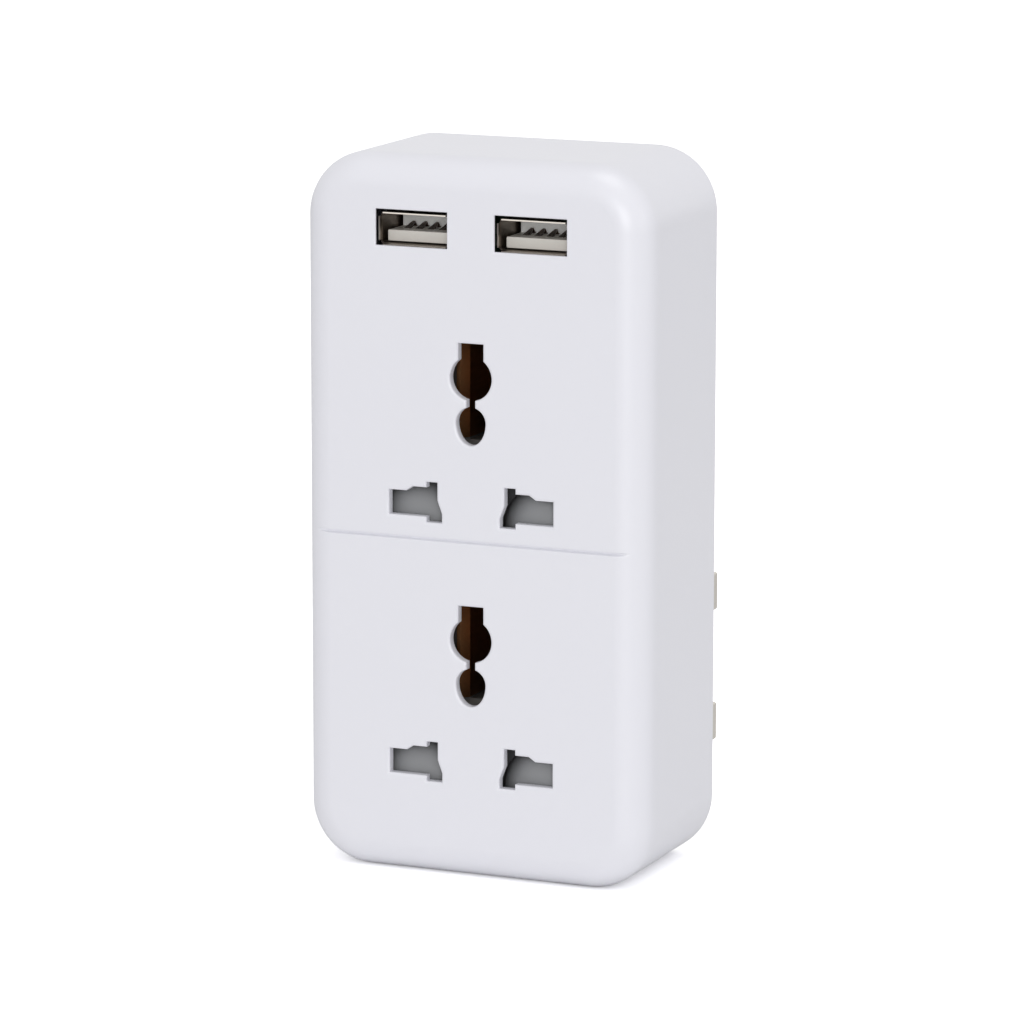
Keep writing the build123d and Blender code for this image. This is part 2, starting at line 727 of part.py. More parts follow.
# USB ports: a folded metal shell whose four lips flare towards its opening, a moulded block
# with its tongue, and four sprung contacts
shell_z = usb_height - usb_shell_drop
shell_inner_x = usb_shell_width / 2 - usb_shell_wall
shell_inner_z = usb_shell_height / 2 - usb_shell_wall
shell_inner_radius = usb_shell_corner_radius - usb_shell_wall
lip_root_y = shell_front_y + usb_lip_length
side_lip_height = usb_shell_height - 2 * usb_lip_relief
level_lip_width = usb_shell_width - 2 * usb_lip_relief
tongue_z = shell_z - shell_inner_z + tongue_above_shell + tongue_thickness / 2
tongue_top = tongue_z + tongue_thickness / 2
block_front_y = board_front_y - usb_block_length
crest_y = tongue_front_y + usb_contact_crest
for name, place in usb_places.items():
    with BuildPart() as usb_shell:
        with BuildSketch(across(board_front_y)):
            with Locations((place, shell_z)):
                RectangleRounded(usb_shell_width, usb_shell_height, usb_shell_corner_radius)
                RectangleRounded(
                    2 * shell_inner_x, 2 * shell_inner_z, shell_inner_radius, mode=Mode.SUBTRACT
                )
        extrude(amount=board_front_y - lip_root_y)
        for side in (-1, 1):
            with BuildSketch(Plane.XY.offset(shell_z - side_lip_height / 2)):
                with BuildLine():
                    Polyline(
                        (place + side * shell_inner_x, lip_root_y),
                        (place + side * (shell_inner_x + usb_lip_flare), shell_front_y),
                        (place + side * (usb_shell_width / 2 + usb_lip_flare), shell_front_y),
                        (place + side * usb_shell_width / 2, lip_root_y),
                        close=True,
                    )
                make_face()
            extrude(amount=side_lip_height)
            with BuildSketch(Plane.YZ.offset(place - level_lip_width / 2)):
                with BuildLine():
                    Polyline(
                        (lip_root_y, shell_z + side * shell_inner_z),
                        (shell_front_y, shell_z + side * (shell_inner_z + usb_lip_flare)),
                        (shell_front_y, shell_z + side * (usb_shell_height / 2 + usb_lip_flare)),
                        (lip_root_y, shell_z + side * usb_shell_height / 2),
                        close=True,
                    )
                make_face()
            extrude(amount=level_lip_width)
    usb_shell.part.label = "usb_shell_" + name
    export_step(usb_shell.part, "parts/usb_shell_" + name + ".step")

    with BuildPart() as usb_tongue:
        with BuildSketch(across(board_front_y)):
            with Locations((place, shell_z)):
                RectangleRounded(
                    2 * (shell_inner_x - usb_block_gap),
                    2 * (shell_inner_z - usb_block_gap),
                    shell_inner_radius - usb_block_gap,
                )
        extrude(amount=usb_block_length)
        with BuildSketch(across(block_front_y)):
            with Locations((place, tongue_z)):
                Rectangle(tongue_width, tongue_thickness)
        extrude(amount=block_front_y - tongue_front_y)
    usb_tongue.part.label = "usb_tongue_" + name
    export_step(usb_tongue.part, "parts/usb_tongue_" + name + ".step")

    with BuildPart() as usb_contacts:
        for step in range(usb_contact_count):
            x = place + (step - (usb_contact_count - 1) / 2) * usb_contact_pitch
            with BuildSketch(Plane.YZ.offset(x - usb_contact_width / 2)):
                with BuildLine():
                    Polyline(
                        (block_front_y, tongue_top),
                        (crest_y + usb_contact_back, tongue_top),
                        (crest_y, tongue_top + usb_contact_rise),
                        (crest_y - usb_contact_front, tongue_top),
                        (crest_y - usb_contact_front, tongue_top + usb_contact_thickness),
                        (crest_y, tongue_top + usb_contact_rise + usb_contact_thickness),
                        (crest_y + usb_contact_back, tongue_top + usb_contact_thickness),
                        (block_front_y, tongue_top + usb_contact_thickness),
                        close=True,
                    )
                make_face()
            extrude(amount=usb_contact_width)
    usb_contacts.part.label = "usb_contacts_" + name
    export_step(usb_contacts.part, "parts/usb_contacts_" + name + ".step")

# Charger board on two posts of the front cover
with BuildPart() as usb_board:
    with BuildSketch(across(board_back_y)):
        with Locations((0, board_middle_z)):
            RectangleRounded(board_width, board_top - board_bottom, board_corner_radius)
        with Locations(*board_post_places):
            Circle((board_screw_diameter + screw_hole_clearance) / 2, mode=Mode.SUBTRACT)
    extrude(amount=board_thickness)
usb_board.part.label = "usb_board"
export_step(usb_board.part, "parts/usb_board.step")

with BuildPart() as board_screws:
    with BuildSketch(across(board_back_y)):
        with Locations(*board_post_places):
            Circle(board_screw_diameter / 2)
    extrude(amount=board_screw_length)
    with BuildSketch(across(board_back_y + board_screw_head_height)):
        with Locations(*board_post_places):
            Circle(board_screw_head / 2)
    extrude(amount=board_screw_head_height)
board_screws.part.label = "board_screws"
export_step(board_screws.part, "parts/board_screws.step")

# Transformer: a ferrite frame with a middle leg, and the wound bobbin on that leg
transformer_depth = component_room - transformer_cover_gap
core_middle_y = board_back_y + transformer_depth / 2
window_width = (transformer_width - transformer_leg_width) / 2 - transformer_rim
with BuildPart() as transformer_core:
    with BuildSketch(across(core_middle_y + core_thickness / 2)):
        with Locations((0, board_middle_z)):
            Rectangle(transformer_width, transformer_height)
        for side in (-1, 1):
            with Locations((side * (transformer_leg_width + window_width) / 2, board_middle_z)):
                Rectangle(window_width, transformer_height - 2 * transformer_rim, mode=Mode.SUBTRACT)
    extrude(amount=core_thickness)
transformer_core.part.label = "transformer_core"
export_step(transformer_core.part, "parts/transformer_core.step")

with BuildPart() as transformer_bobbin:
    with BuildSketch(across(board_back_y + transformer_depth)):
        with Locations((0, board_middle_z)):
            RectangleRounded(
                transformer_leg_width + 2 * (window_width - bobbin_gap),
                transformer_height - 2 * (transformer_rim + bobbin_gap),
                bobbin_corner_radius,
            )
    extrude(amount=transformer_depth)
    with BuildSketch(across(core_middle_y + core_thickness / 2 + bobbin_gap)):
        with Locations((0, board_middle_z)):
            Rectangle(transformer_leg_width + 2 * bobbin_gap, transformer_height)
    extrude(amount=core_thickness + 2 * bobbin_gap, mode=Mode.SUBTRACT)
transformer_bobbin.part.label = "transformer_bobbin"
export_step(transformer_bobbin.part, "parts/transformer_bobbin.step")

# Capacitors stand on the back of the board, one each side of the transformer
capacitor_sizes = {
    "input_capacitor": (
        input_capacitor_inset_x - board_width / 2,
        board_top - input_capacitor_below_top,
        input_capacitor_diameter,
        component_room - input_capacitor_cover_gap,
    ),
    "output_capacitor": (
        board_width / 2 - output_capacitor_inset_x,
        board_top - output_capacitor_below_top,
        output_capacitor_diameter,
        component_room - output_capacitor_cover_gap,
    ),
}
for name, (x, z, diameter, length) in capacitor_sizes.items():
    with BuildPart() as capacitor:
        with BuildSketch(across(board_back_y + length)):
            with Locations((x, z)):
                Circle(diameter / 2)
        extrude(amount=length)
        chamfer(capacitor.faces().sort_by(Axis.Y)[-1].edges(), capacitor_edge)
    capacitor.part.label = name
    export_step(capacitor.part, "parts/" + name + ".step")

# Rectifier and controller lie flat on the front of the board, below the ports
chip_z = board_bottom + chip_above_bottom
chip_sizes = {
    "bridge_rectifier": (-chip_x, rectifier_width, rectifier_height, rectifier_thickness),
    "charge_controller": (chip_x, controller_width, controller_height, controller_thickness),
}
for name, (x, width, height, thickness) in chip_sizes.items():
    leg_row_spacing = height + chip_leg_reach - chip_leg
    with BuildPart() as chip:
        with BuildSketch(across(board_front_y)):
            with Locations((x, chip_z)):
                Rectangle(width, height)
        extrude(amount=thickness)
        with BuildSketch(across(board_front_y)):
            with Locations((x, chip_z)):
                with GridLocations(chip_leg_pitch, leg_row_spacing, chip_legs_a_side, 2):
                    Rectangle(chip_leg_width, chip_leg_reach + chip_leg)
        extrude(amount=chip_leg)
    chip.part.label = name
    export_step(chip.part, "parts/" + name + ".step")

# Fusible resistor with its bent wire ends
resistor_y = board_back_y + resistor_diameter / 2 + resistor_lift
resistor_z = board_top - resistor_below_top
resistor_reach = resistor_length / 2 + resistor_lead_reach
with BuildPart() as fusible_resistor:
    with BuildLine() as resistor_wire:
        FilletPolyline(
            (-resistor_reach, board_back_y, resistor_z),
            (-resistor_reach, resistor_y, resistor_z),
            (resistor_reach, resistor_y, resistor_z),
            (resistor_reach, board_back_y, resistor_z),
            radius=resistor_lead_bend,
        )
    with BuildSketch(Plane(origin=resistor_wire.line @ 0, z_dir=resistor_wire.line % 0)):
        Circle(resistor_lead / 2)
    sweep(path=resistor_wire.line)
    with BuildSketch(Plane.YZ.offset(-resistor_length / 2)):
        with Locations((resistor_y, resistor_z)):
            Circle(resistor_diameter / 2)
    extrude(amount=resistor_length)
fusible_resistor.part.label = "fusible_resistor"
export_step(fusible_resistor.part, "parts/fusible_resistor.step")

# Mains leads from the live and neutral strips to the board
lead_z = upper_line_height + lead_above_line
lead_board_z = board_bottom + lead_above_board_bottom
for name, side in (("live", 1), ("neutral", -1)):
    x = side * jaw_middle
    with BuildPart() as lead:
        with BuildLine() as lead_route:
            FilletPolyline(
                (x, live_strip_back_y, lead_z),
                (x, live_strip_back_y + lead_reach, lead_z),
                (x, live_strip_back_y + lead_reach, lead_board_z),
                (x, board_back_y, lead_board_z),
                radius=lead_bend,
            )
        with BuildSketch(Plane(origin=lead_route.line @ 0, z_dir=lead_route.line % 0)):
            Circle(lead_diameter / 2)
        sweep(path=lead_route.line)
    lead.part.label = name + "_lead"
    export_step(lead.part, "parts/" + name + "_lead.step")
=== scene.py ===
# %% [markdown]
# # A wall adapter with two outlets and two charging ports
# The real object is a white moulded block, a little taller than a hand is wide. Its front
# has two outlets that take plugs of several countries, with grey shutters behind the slots,
# and two USB ports above them. Three rectangular pins behind go into the wall. The packed
# CAD model is the frame: every piece below is made in its place on it.

import math

import bmesh
import bpy
import numpy as np
from mathutils import Matrix, Vector
from mathutils.geometry import delaunay_2d_cdt


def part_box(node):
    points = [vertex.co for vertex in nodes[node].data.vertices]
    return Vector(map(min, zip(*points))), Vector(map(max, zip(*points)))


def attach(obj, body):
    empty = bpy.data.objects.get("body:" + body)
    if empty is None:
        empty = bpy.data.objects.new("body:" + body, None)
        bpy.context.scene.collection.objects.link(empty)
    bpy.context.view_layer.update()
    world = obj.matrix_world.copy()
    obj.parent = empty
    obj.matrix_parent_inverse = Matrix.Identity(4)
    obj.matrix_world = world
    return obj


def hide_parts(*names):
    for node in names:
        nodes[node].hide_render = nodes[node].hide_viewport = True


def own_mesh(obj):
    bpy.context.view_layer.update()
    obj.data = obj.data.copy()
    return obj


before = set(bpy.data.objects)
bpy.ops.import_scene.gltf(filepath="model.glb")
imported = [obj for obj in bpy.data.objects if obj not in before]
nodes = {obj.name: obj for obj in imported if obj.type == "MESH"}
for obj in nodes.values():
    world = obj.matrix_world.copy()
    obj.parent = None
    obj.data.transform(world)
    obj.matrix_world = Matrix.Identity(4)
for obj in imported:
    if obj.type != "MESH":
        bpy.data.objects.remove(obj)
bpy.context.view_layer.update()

# %% [markdown]
# ## Sizes
# All lengths are in millimetres, and a mesh is scaled to metres only when it is made. Most are
# the ones of the CAD source, and where a photograph shows a detail better, the cell that uses
# it says so. The case's width, height and depth are read from the frame. The front faces -Y.

# %% Sizes in millimetres
MM = 0.001
case_low, case_high = [np.array(v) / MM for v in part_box("front_cover")]
body_width, body_depth, body_height = case_high - case_low
front_y, back_y = case_low[1], case_high[1]
corner_radius, front_fillet, side_wall, front_wall = 10.45, 5.3, 2.2, 1.9
inner_front_y = front_y + front_wall
line_heights = {"lower": 18.8, "upper": 61.6}
groove_height, groove_depth = 55.95, 0.46
usb_height, usb_offset = 106.05, 10.33
print("case", body_width, body_depth, body_height)

# %% [markdown]
# ## Building blocks
# A moulded case is a rounded rectangle carried inwards and backwards. Each point of the
# outline keeps the centre of its corner and its outward direction, so every smaller outline
# is found without any offsetting tool: centre plus direction times what is left of the
# radius. A run of such outlines at changing depths is a skin.


# %% Outlines and skins
def rounded_walk(width, height, radius, centre, rows=(), corner_steps=20):
    """Once round an upright rounded rectangle, anticlockwise as seen from the front.
    A corner point is the corner's centre plus radius times the direction at its angle. A side
    has extra points at the heights in rows. Gives the centres and the directions."""
    quarter = np.linspace(0, math.pi / 2, corner_steps + 1)
    across, up = width / 2 - radius, height / 2 - radius
    rows = np.asarray(rows, float) - centre[1]
    stations = [
        (across, rows, 0 * rows),
        (across, up, quarter),
        (-across, up, quarter + math.pi / 2),
        (-across, rows[::-1], 0 * rows + math.pi),
        (-across, -up, quarter + math.pi),
        (across, -up, quarter + 1.5 * math.pi),
    ]
    spots = np.concatenate(
        [np.stack(np.broadcast_arrays(x, z, angle), -1) for x, z, angle in stations]
    )
    directions = np.stack([np.cos(spots[:, 2]), np.sin(spots[:, 2])], -1)
    return spots[:, :2] + np.asarray(centre), directions, radius


def outline_at(walk, inset):
    """The walk's outline drawn in by inset."""
    centres, directions, radius = walk
    return centres + directions * (radius - inset)


def skin(rings):
    """Quads between neighbouring rings of the same number of points, closed round each ring."""
    rings = np.asarray(rings, float)
    count, around = rings.shape[:2]
    i, j = np.meshgrid(np.arange(count - 1), np.arange(around), indexing="ij")
    k = (j + 1) % around
    here, after = i * around, (i + 1) * around
    quads = np.stack([here + j, here + k, after + k, after + j], -1)
    return rings.reshape(-1, 3), quads.reshape(-1, 4)


def at_depth(outline, y):
    """A flat outline in X and Z, set at the depth y."""
    return np.stack([outline[:, 0], np.broadcast_to(y, len(outline)), outline[:, 1]], -1)


def rounding(inset, depth, radius, steps, reach=None):
    """A quarter circle in a profile, or of an ellipse where a reach in depth is given: at angle
    t the inset is inset + radius (1 - sin t) and the depth is depth + reach (1 - cos t)."""
    reach = radius if reach is None else reach
    return [
        (inset + radius * (1 - math.sin(t)), depth + reach * (1 - math.cos(t)))
        for t in np.radians(np.linspace(0, 90, steps))
    ]


def back_rounding(depth, radius, steps):
    """The same quarter circle turned to the back: it starts at inset 0 and ends at the depth."""
    return [(inset, depth - y) for inset, y in reversed(rounding(0, 0, radius, steps))]


print("a rounding of 2 mm:", [(round(a, 2), round(b, 2)) for a, b in rounding(0, 0, 2.0, 3)])

# %% [markdown]
# ## Flat walls with holes
# The front has eight openings in one flat wall: two slots and an earth hole for each outlet,
# and two USB mouths. The wall is filled with triangles by a constrained Delaunay
# triangulation, which keeps every outline as given, and triangles whose middle lies in an
# opening are dropped. Every opening gets a small rounded edge, because a moulded edge is never
# sharp and the edge is what catches the light.


# %% Fill a flat wall
almost_nothing, same_height, same_point = 1e-12, 1e-9, 1e-7


def inside(outline, points):
    """True where a ray to the right of a point crosses the outline an odd number of times."""
    a, b = outline, np.roll(outline, -1, 0)
    x, z = points[:, :1], points[:, 1:]
    crosses = (a[:, 1] > z) != (b[:, 1] > z)
    rise = np.where(b[:, 1] == a[:, 1], almost_nothing, b[:, 1] - a[:, 1])
    where = a[:, 0] + (z - a[:, 1]) * (b[:, 0] - a[:, 0]) / rise
    return (crosses & (x < where)).sum(1) % 2 == 1


def loop_edges(first, count):
    """Index pairs that join count points from first into a closed loop."""
    i = np.arange(count)
    return np.stack([first + i, first + (i + 1) % count], -1)


def fill_wall(outer, holes, rows=()):
    """Triangles inside the outer outline and outside the holes. Each height in rows is a
    straight cut from one side to the other, so that a groove can run along it."""
    points = np.concatenate([outer, *holes])
    firsts = np.cumsum([0] + [len(p) for p in (outer, *holes)])[:-1]
    edges = np.concatenate([loop_edges(f, len(p)) for f, p in zip(firsts, (outer, *holes))])
    for z in rows:
        ends = np.flatnonzero(np.abs(outer[:, 1] - z) < same_height)
        edges = np.concatenate([edges, [[ends[0], ends[-1]]]])
    given = [Vector(p) for p in points]
    found, _, triangles, sources, _, _ = delaunay_2d_cdt(
        given, edges.tolist(), [], 0, same_point, True
    )
    spots = np.array([points[old[0]] if old else tuple(new) for new, old in zip(found, sources)])
    triangles = np.array(triangles)
    middles = spots[triangles].mean(1)
    keep = inside(outer, middles)
    for hole in holes:
        keep &= ~inside(hole, middles)
    return spots, triangles[keep]


# %% Openings
def spread(outline, distance):
    """Moves each corner of a closed outline away from its middle, so that every edge moves out
    by distance: along the mean of its two edge normals, over one plus their dot product."""
    edge = np.roll(outline, -1, 0) - outline
    normal = np.stack([edge[:, 1], -edge[:, 0]], -1) / np.linalg.norm(edge, axis=1)[:, None]
    before = np.roll(normal, 1, 0)
    both = (before + normal) / (1 + (before * normal).sum(1))[:, None]
    return outline + both * distance


def opening(outline, profile):
    """Rings of an opening: the outline spread by each distance of the profile, at its depth."""
    return [at_depth(spread(outline, distance), y) for distance, y in profile]


def anticlockwise(outline):
    """The outline turned round if its signed area is negative."""
    x, z = np.asarray(outline, float).T
    area = (x * np.roll(z, -1) - np.roll(x, -1) * z).sum()
    return np.asarray(outline, float)[:: 1 if area > 0 else -1]


square = np.array([(1.0, -1.0), (1.0, 1.0), (-1.0, 1.0), (-1.0, -1.0)])
print("a square spread by 0.5 mm:", spread(anticlockwise(square), 0.5).tolist())

# %% [markdown]
# ## From arrays to a Blender mesh
# Skins and walls are joined, points that coincide are merged, and the normals are worked out
# again on the closed shape. Edges sharper than about 35 degrees stay sharp, and the rest is
# smooth with weighted normals, so a large flat face stays flat up to its rounded edge.


# %% Make a piece
merge_distance, sliver_length = 2e-6, 1e-7


def make_piece(name, sheets, body, slot_name, replaced, sharp=35.0):
    """One mesh from (points in mm, faces) pairs. It rides on a body, takes a finish and stands
    in for a CAD node."""
    firsts = np.cumsum([0] + [len(points) for points, _ in sheets])[:-1]
    points = np.concatenate([points for points, _ in sheets]) * MM
    faces = sum(((part + first).tolist() for (_, part), first in zip(sheets, firsts)), [])
    mesh = bpy.data.meshes.new(name)
    mesh.from_pydata(points.tolist(), [], faces)
    work = bmesh.new()
    work.from_mesh(mesh)
    bmesh.ops.remove_doubles(work, verts=work.verts, dist=merge_distance)
    bmesh.ops.dissolve_degenerate(work, edges=work.edges, dist=sliver_length)
    bmesh.ops.recalc_face_normals(work, faces=work.faces)
    open_edges = sum(1 for e in work.edges if len(e.link_faces) != 2)
    work.to_mesh(mesh)
    work.free()
    mesh.polygons.foreach_set("use_smooth", np.ones(len(mesh.polygons), bool))
    mesh.set_sharp_from_angle(angle=math.radians(sharp))
    piece = bpy.data.objects.new(name, mesh)
    bpy.context.scene.collection.objects.link(piece)
    weighted = piece.modifiers.new("flat faces stay flat", "WEIGHTED_NORMAL")
    weighted.keep_sharp = True
    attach(piece, body)
    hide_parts(replaced)
    mesh.materials.append(finishes[slot_name])
    counts = len(mesh.vertices), len(mesh.polygons), open_edges
    print(name + ": %d points, %d faces, %d open edges" % counts)
    return piece


# %% [markdown]
# ## Finishes
# All colours here are linear. Moulded plastic is never one flat value: its gloss wanders a
# little, its colour drifts slightly over a hand's width, and a fine spark-eroded grain breaks
# up reflections. Drawn metal has fine lines along its length. Both effects are node groups,
# placed in each material with its own numbers, while the shader stays in the material.


# %% Node groups
MIX_INPUTS, MIX_RESULT = (0, 6, 7), 2
effect_outputs = [
    ("Colour", "NodeSocketColor"),
    ("Roughness", "NodeSocketFloat"),
    ("Height", "NodeSocketFloat"),
]


def new_group(name, inputs, outputs):
    """A shader node group with the sockets named in inputs and outputs."""
    group = bpy.data.node_groups.new(name, "ShaderNodeTree")
    for title, kind, value in inputs:
        socket = group.interface.new_socket(title, in_out="INPUT", socket_type=kind)
        socket.default_value = value
    for title, kind in outputs:
        group.interface.new_socket(title, in_out="OUTPUT", socket_type=kind)
    return group, group.nodes.new("NodeGroupInput"), group.nodes.new("NodeGroupOutput")


def add(group, kind, **settings):
    """A node with its settings."""
    node = group.nodes.new(kind)
    for key, value in settings.items():
        setattr(node, key, value)
    return node


def blend_by(group, factor, first, second):
    """A colour mix of two sockets by a factor socket."""
    mix = add(group, "ShaderNodeMix", data_type="RGBA")
    for index, source in zip(MIX_INPUTS, (factor, first, second)):
        group.links.new(source, mix.inputs[index])
    return mix.outputs[MIX_RESULT]


def moulded_group():
    """Colour drifts between two close tones, roughness wanders, and height is a fine grain."""
    group, entry, exit_ = new_group(
        "moulded_plastic",
        [
            ("Tone", "NodeSocketColor", (0.8, 0.8, 0.8, 1)),
            ("Second tone", "NodeSocketColor", (0.78, 0.78, 0.78, 1)),
            ("Roughness", "NodeSocketFloat", 0.35),
            ("Wander", "NodeSocketFloat", 0.06),
            ("Grain per metre", "NodeSocketFloat", 2600.0),
        ],
        effect_outputs,
    )
    place = add(group, "ShaderNodeTexCoord")
    drift = add(group, "ShaderNodeTexNoise")
    drift.inputs["Scale"].default_value = 28.0
    drift.inputs["Detail"].default_value = 3.0
    grain = add(group, "ShaderNodeTexNoise")
    grain.inputs["Detail"].default_value = 2.0
    group.links.new(place.outputs["Object"], drift.inputs["Vector"])
    group.links.new(place.outputs["Object"], grain.inputs["Vector"])
    group.links.new(entry.outputs["Grain per metre"], grain.inputs["Scale"])
    tones = entry.outputs["Tone"], entry.outputs["Second tone"]
    colour = blend_by(group, drift.outputs["Fac"], *tones)
    centred = add(group, "ShaderNodeMath", operation="SUBTRACT")
    centred.inputs[1].default_value = 0.5
    scaled = add(group, "ShaderNodeMath", operation="MULTIPLY_ADD")
    group.links.new(drift.outputs["Fac"], centred.inputs[0])
    group.links.new(centred.outputs[0], scaled.inputs[0])
    group.links.new(entry.outputs["Wander"], scaled.inputs[1])
    group.links.new(entry.outputs["Roughness"], scaled.inputs[2])
    group.links.new(colour, exit_.inputs["Colour"])
    group.links.new(scaled.outputs[0], exit_.inputs["Roughness"])
    group.links.new(grain.outputs["Fac"], exit_.inputs["Height"])
    return group


def drawn_group():
    """Fine lines along one axis: a noise that is stretched by a Mapping node."""
    group, entry, exit_ = new_group(
        "drawn_metal",
        [
            ("Tone", "NodeSocketColor", (0.7, 0.7, 0.7, 1)),
            ("Second tone", "NodeSocketColor", (0.6, 0.6, 0.6, 1)),
            ("Roughness", "NodeSocketFloat", 0.3),
            ("Wander", "NodeSocketFloat", 0.12),
            ("Lines", "NodeSocketVector", (1500.0, 60.0, 1500.0)),
        ],
        effect_outputs,
    )
    place = add(group, "ShaderNodeTexCoord")
    stretch = add(group, "ShaderNodeMapping")
    lines = add(group, "ShaderNodeTexNoise")
    lines.inputs["Scale"].default_value = 1.0
    lines.inputs["Detail"].default_value = 3.0
    group.links.new(place.outputs["Object"], stretch.inputs["Vector"])
    group.links.new(entry.outputs["Lines"], stretch.inputs["Scale"])
    group.links.new(stretch.outputs["Vector"], lines.inputs["Vector"])
    tones = entry.outputs["Tone"], entry.outputs["Second tone"]
    colour = blend_by(group, lines.outputs["Fac"], *tones)
    scaled = add(group, "ShaderNodeMath", operation="MULTIPLY_ADD")
    group.links.new(lines.outputs["Fac"], scaled.inputs[0])
    group.links.new(entry.outputs["Wander"], scaled.inputs[1])
    group.links.new(entry.outputs["Roughness"], scaled.inputs[2])
    group.links.new(colour, exit_.inputs["Colour"])
    group.links.new(scaled.outputs[0], exit_.inputs["Roughness"])
    group.links.new(lines.outputs["Fac"], exit_.inputs["Height"])
    return group


def depth_light_and_shade_group():
    """Painted light and shade by depth: a second colour takes over, none before start, all of it
    behind end.
    """
    group, entry, exit_ = new_group(
        "painted_light_and_shade_by_depth",
        [
            ("Colour", "NodeSocketColor", (0.7, 0.7, 0.7, 1)),
            ("Painted light and shade colour", "NodeSocketColor", (0.3, 0.3, 0.3, 1)),
            ("Start", "NodeSocketFloat", -0.0149),
            ("End", "NodeSocketFloat", -0.0143),
        ],
        [("Colour", "NodeSocketColor")],
    )
    place = add(group, "ShaderNodeTexCoord")
    parts = add(group, "ShaderNodeSeparateXYZ")
    share = add(group, "ShaderNodeMapRange", interpolation_type="SMOOTHSTEP")
    group.links.new(place.outputs["Object"], parts.inputs[0])
    group.links.new(parts.outputs["Y"], share.inputs["Value"])
    group.links.new(entry.outputs["Start"], share.inputs["From Min"])
    group.links.new(entry.outputs["End"], share.inputs["From Max"])
    colours = entry.outputs["Colour"], entry.outputs["Painted light and shade colour"]
    colour = blend_by(group, share.outputs["Result"], *colours)
    group.links.new(colour, exit_.inputs["Colour"])
    return group


moulded, drawn, depth_light_and_shade = moulded_group(), drawn_group(), depth_light_and_shade_group()
print("groups:", moulded.name, drawn.name, depth_light_and_shade.name)

# %% [markdown]
# Each finish is one Principled shader fed by one of the groups. There is a table for each
# group. A row holds the two tones, the roughness and the depth of the grain in metres, and
# then the metalness, and for the satin case a thin clear coat. Three finishes carry painted
# light and shade by depth: the tubes of the USB shells behind their lips are painted dark as
# painted shade, the domes of the shutters get painted shade towards their feet, and the wall
# at the back of a port is painted lighter as painted light.


# %% Materials
coat_roughness, bump_strength = 0.25, 0.5


def make_finish(name, group, tone, second, roughness, relief, metallic=0.0, coat=0.0):
    """A Principled material whose colour, roughness and bump come from a group."""
    material = bpy.data.materials.new(name)
    material.use_nodes = True
    tree = material.node_tree
    shader = tree.nodes["Principled BSDF"]
    shader.inputs["Metallic"].default_value = metallic
    shader.inputs["Coat Weight"].default_value = coat
    shader.inputs["Coat Roughness"].default_value = coat_roughness
    effect = add(tree, "ShaderNodeGroup", node_tree=group)
    effect.inputs["Tone"].default_value = (*tone, 1)
    effect.inputs["Second tone"].default_value = (*second, 1)
    effect.inputs["Roughness"].default_value = roughness
    bump = add(tree, "ShaderNodeBump")
    bump.inputs["Strength"].default_value = bump_strength
    bump.inputs["Distance"].default_value = relief
    tree.links.new(effect.outputs["Colour"], shader.inputs["Base Color"])
    tree.links.new(effect.outputs["Roughness"], shader.inputs["Roughness"])
    tree.links.new(effect.outputs["Height"], bump.inputs["Height"])
    tree.links.new(bump.outputs["Normal"], shader.inputs["Normal"])
    return material


plastics = {
    "housing_plastic": ((0.80, 0.80, 0.85), (0.785, 0.785, 0.84), 0.36, 8e-6, 0.0, 0.12),
    "shutter_plastic": ((0.30, 0.305, 0.315), (0.27, 0.275, 0.285), 0.5, 1e-5),
    "carrier_plastic": ((0.24, 0.225, 0.21), (0.21, 0.197, 0.185), 0.5, 1e-5),
    "sleeve_plastic": ((0.018, 0.018, 0.020), (0.024, 0.024, 0.026), 0.42, 1e-5),
    "tongue_plastic": ((0.74, 0.71, 0.66), (0.69, 0.66, 0.61), 0.45, 6e-6),
    "board": ((0.014, 0.050, 0.024), (0.012, 0.042, 0.020), 0.4, 1e-5),
    "ferrite": ((0.045, 0.045, 0.048), (0.035, 0.035, 0.037), 0.6, 2e-5),
    "winding_tape": ((0.75, 0.55, 0.10), (0.70, 0.50, 0.08), 0.35, 1e-5),
    "capacitor_sleeve": ((0.03, 0.04, 0.09), (0.025, 0.035, 0.08), 0.3, 5e-6),
    "chip_body": ((0.03, 0.03, 0.032), (0.025, 0.025, 0.027), 0.5, 1e-5),
    "resistor_body": ((0.10, 0.22, 0.42), (0.09, 0.20, 0.38), 0.4, 1e-5),
    "live_insulation": ((0.22, 0.10, 0.05), (0.20, 0.09, 0.045), 0.4, 1e-5),
    "neutral_insulation": ((0.05, 0.14, 0.42), (0.045, 0.13, 0.40), 0.4, 1e-5),
}
metals = {
    "pin_nickel": ((0.66, 0.63, 0.58), (0.58, 0.55, 0.50), 0.24, 2e-6, 1.0),
    # contact_brass is darker and redder than new brass, as painted shade for the deep holes it
    # stands in.
    "contact_brass": ((0.32, 0.165, 0.075), (0.25, 0.125, 0.055), 0.30, 2e-6, 1.0),
    "spring_steel": ((0.55, 0.55, 0.56), (0.48, 0.48, 0.49), 0.28, 1e-6, 1.0),
    "screw_steel": ((0.56, 0.56, 0.57), (0.48, 0.48, 0.49), 0.30, 3e-6, 1.0),
    "usb_shell_metal": ((0.88, 0.82, 0.74), (0.82, 0.76, 0.68), 0.28, 2e-6, 1.0),
    # usb_contact_metal is very dark: partly a dull dark metal, partly painted shade inside the
    # port.
    "usb_contact_metal": ((0.085, 0.055, 0.040), (0.065, 0.042, 0.030), 0.28, 1e-6, 1.0),
}
finishes = {name: make_finish(name, moulded, *row) for name, row in plastics.items()}
finishes |= {name: make_finish(name, drawn, *row) for name, row in metals.items()}


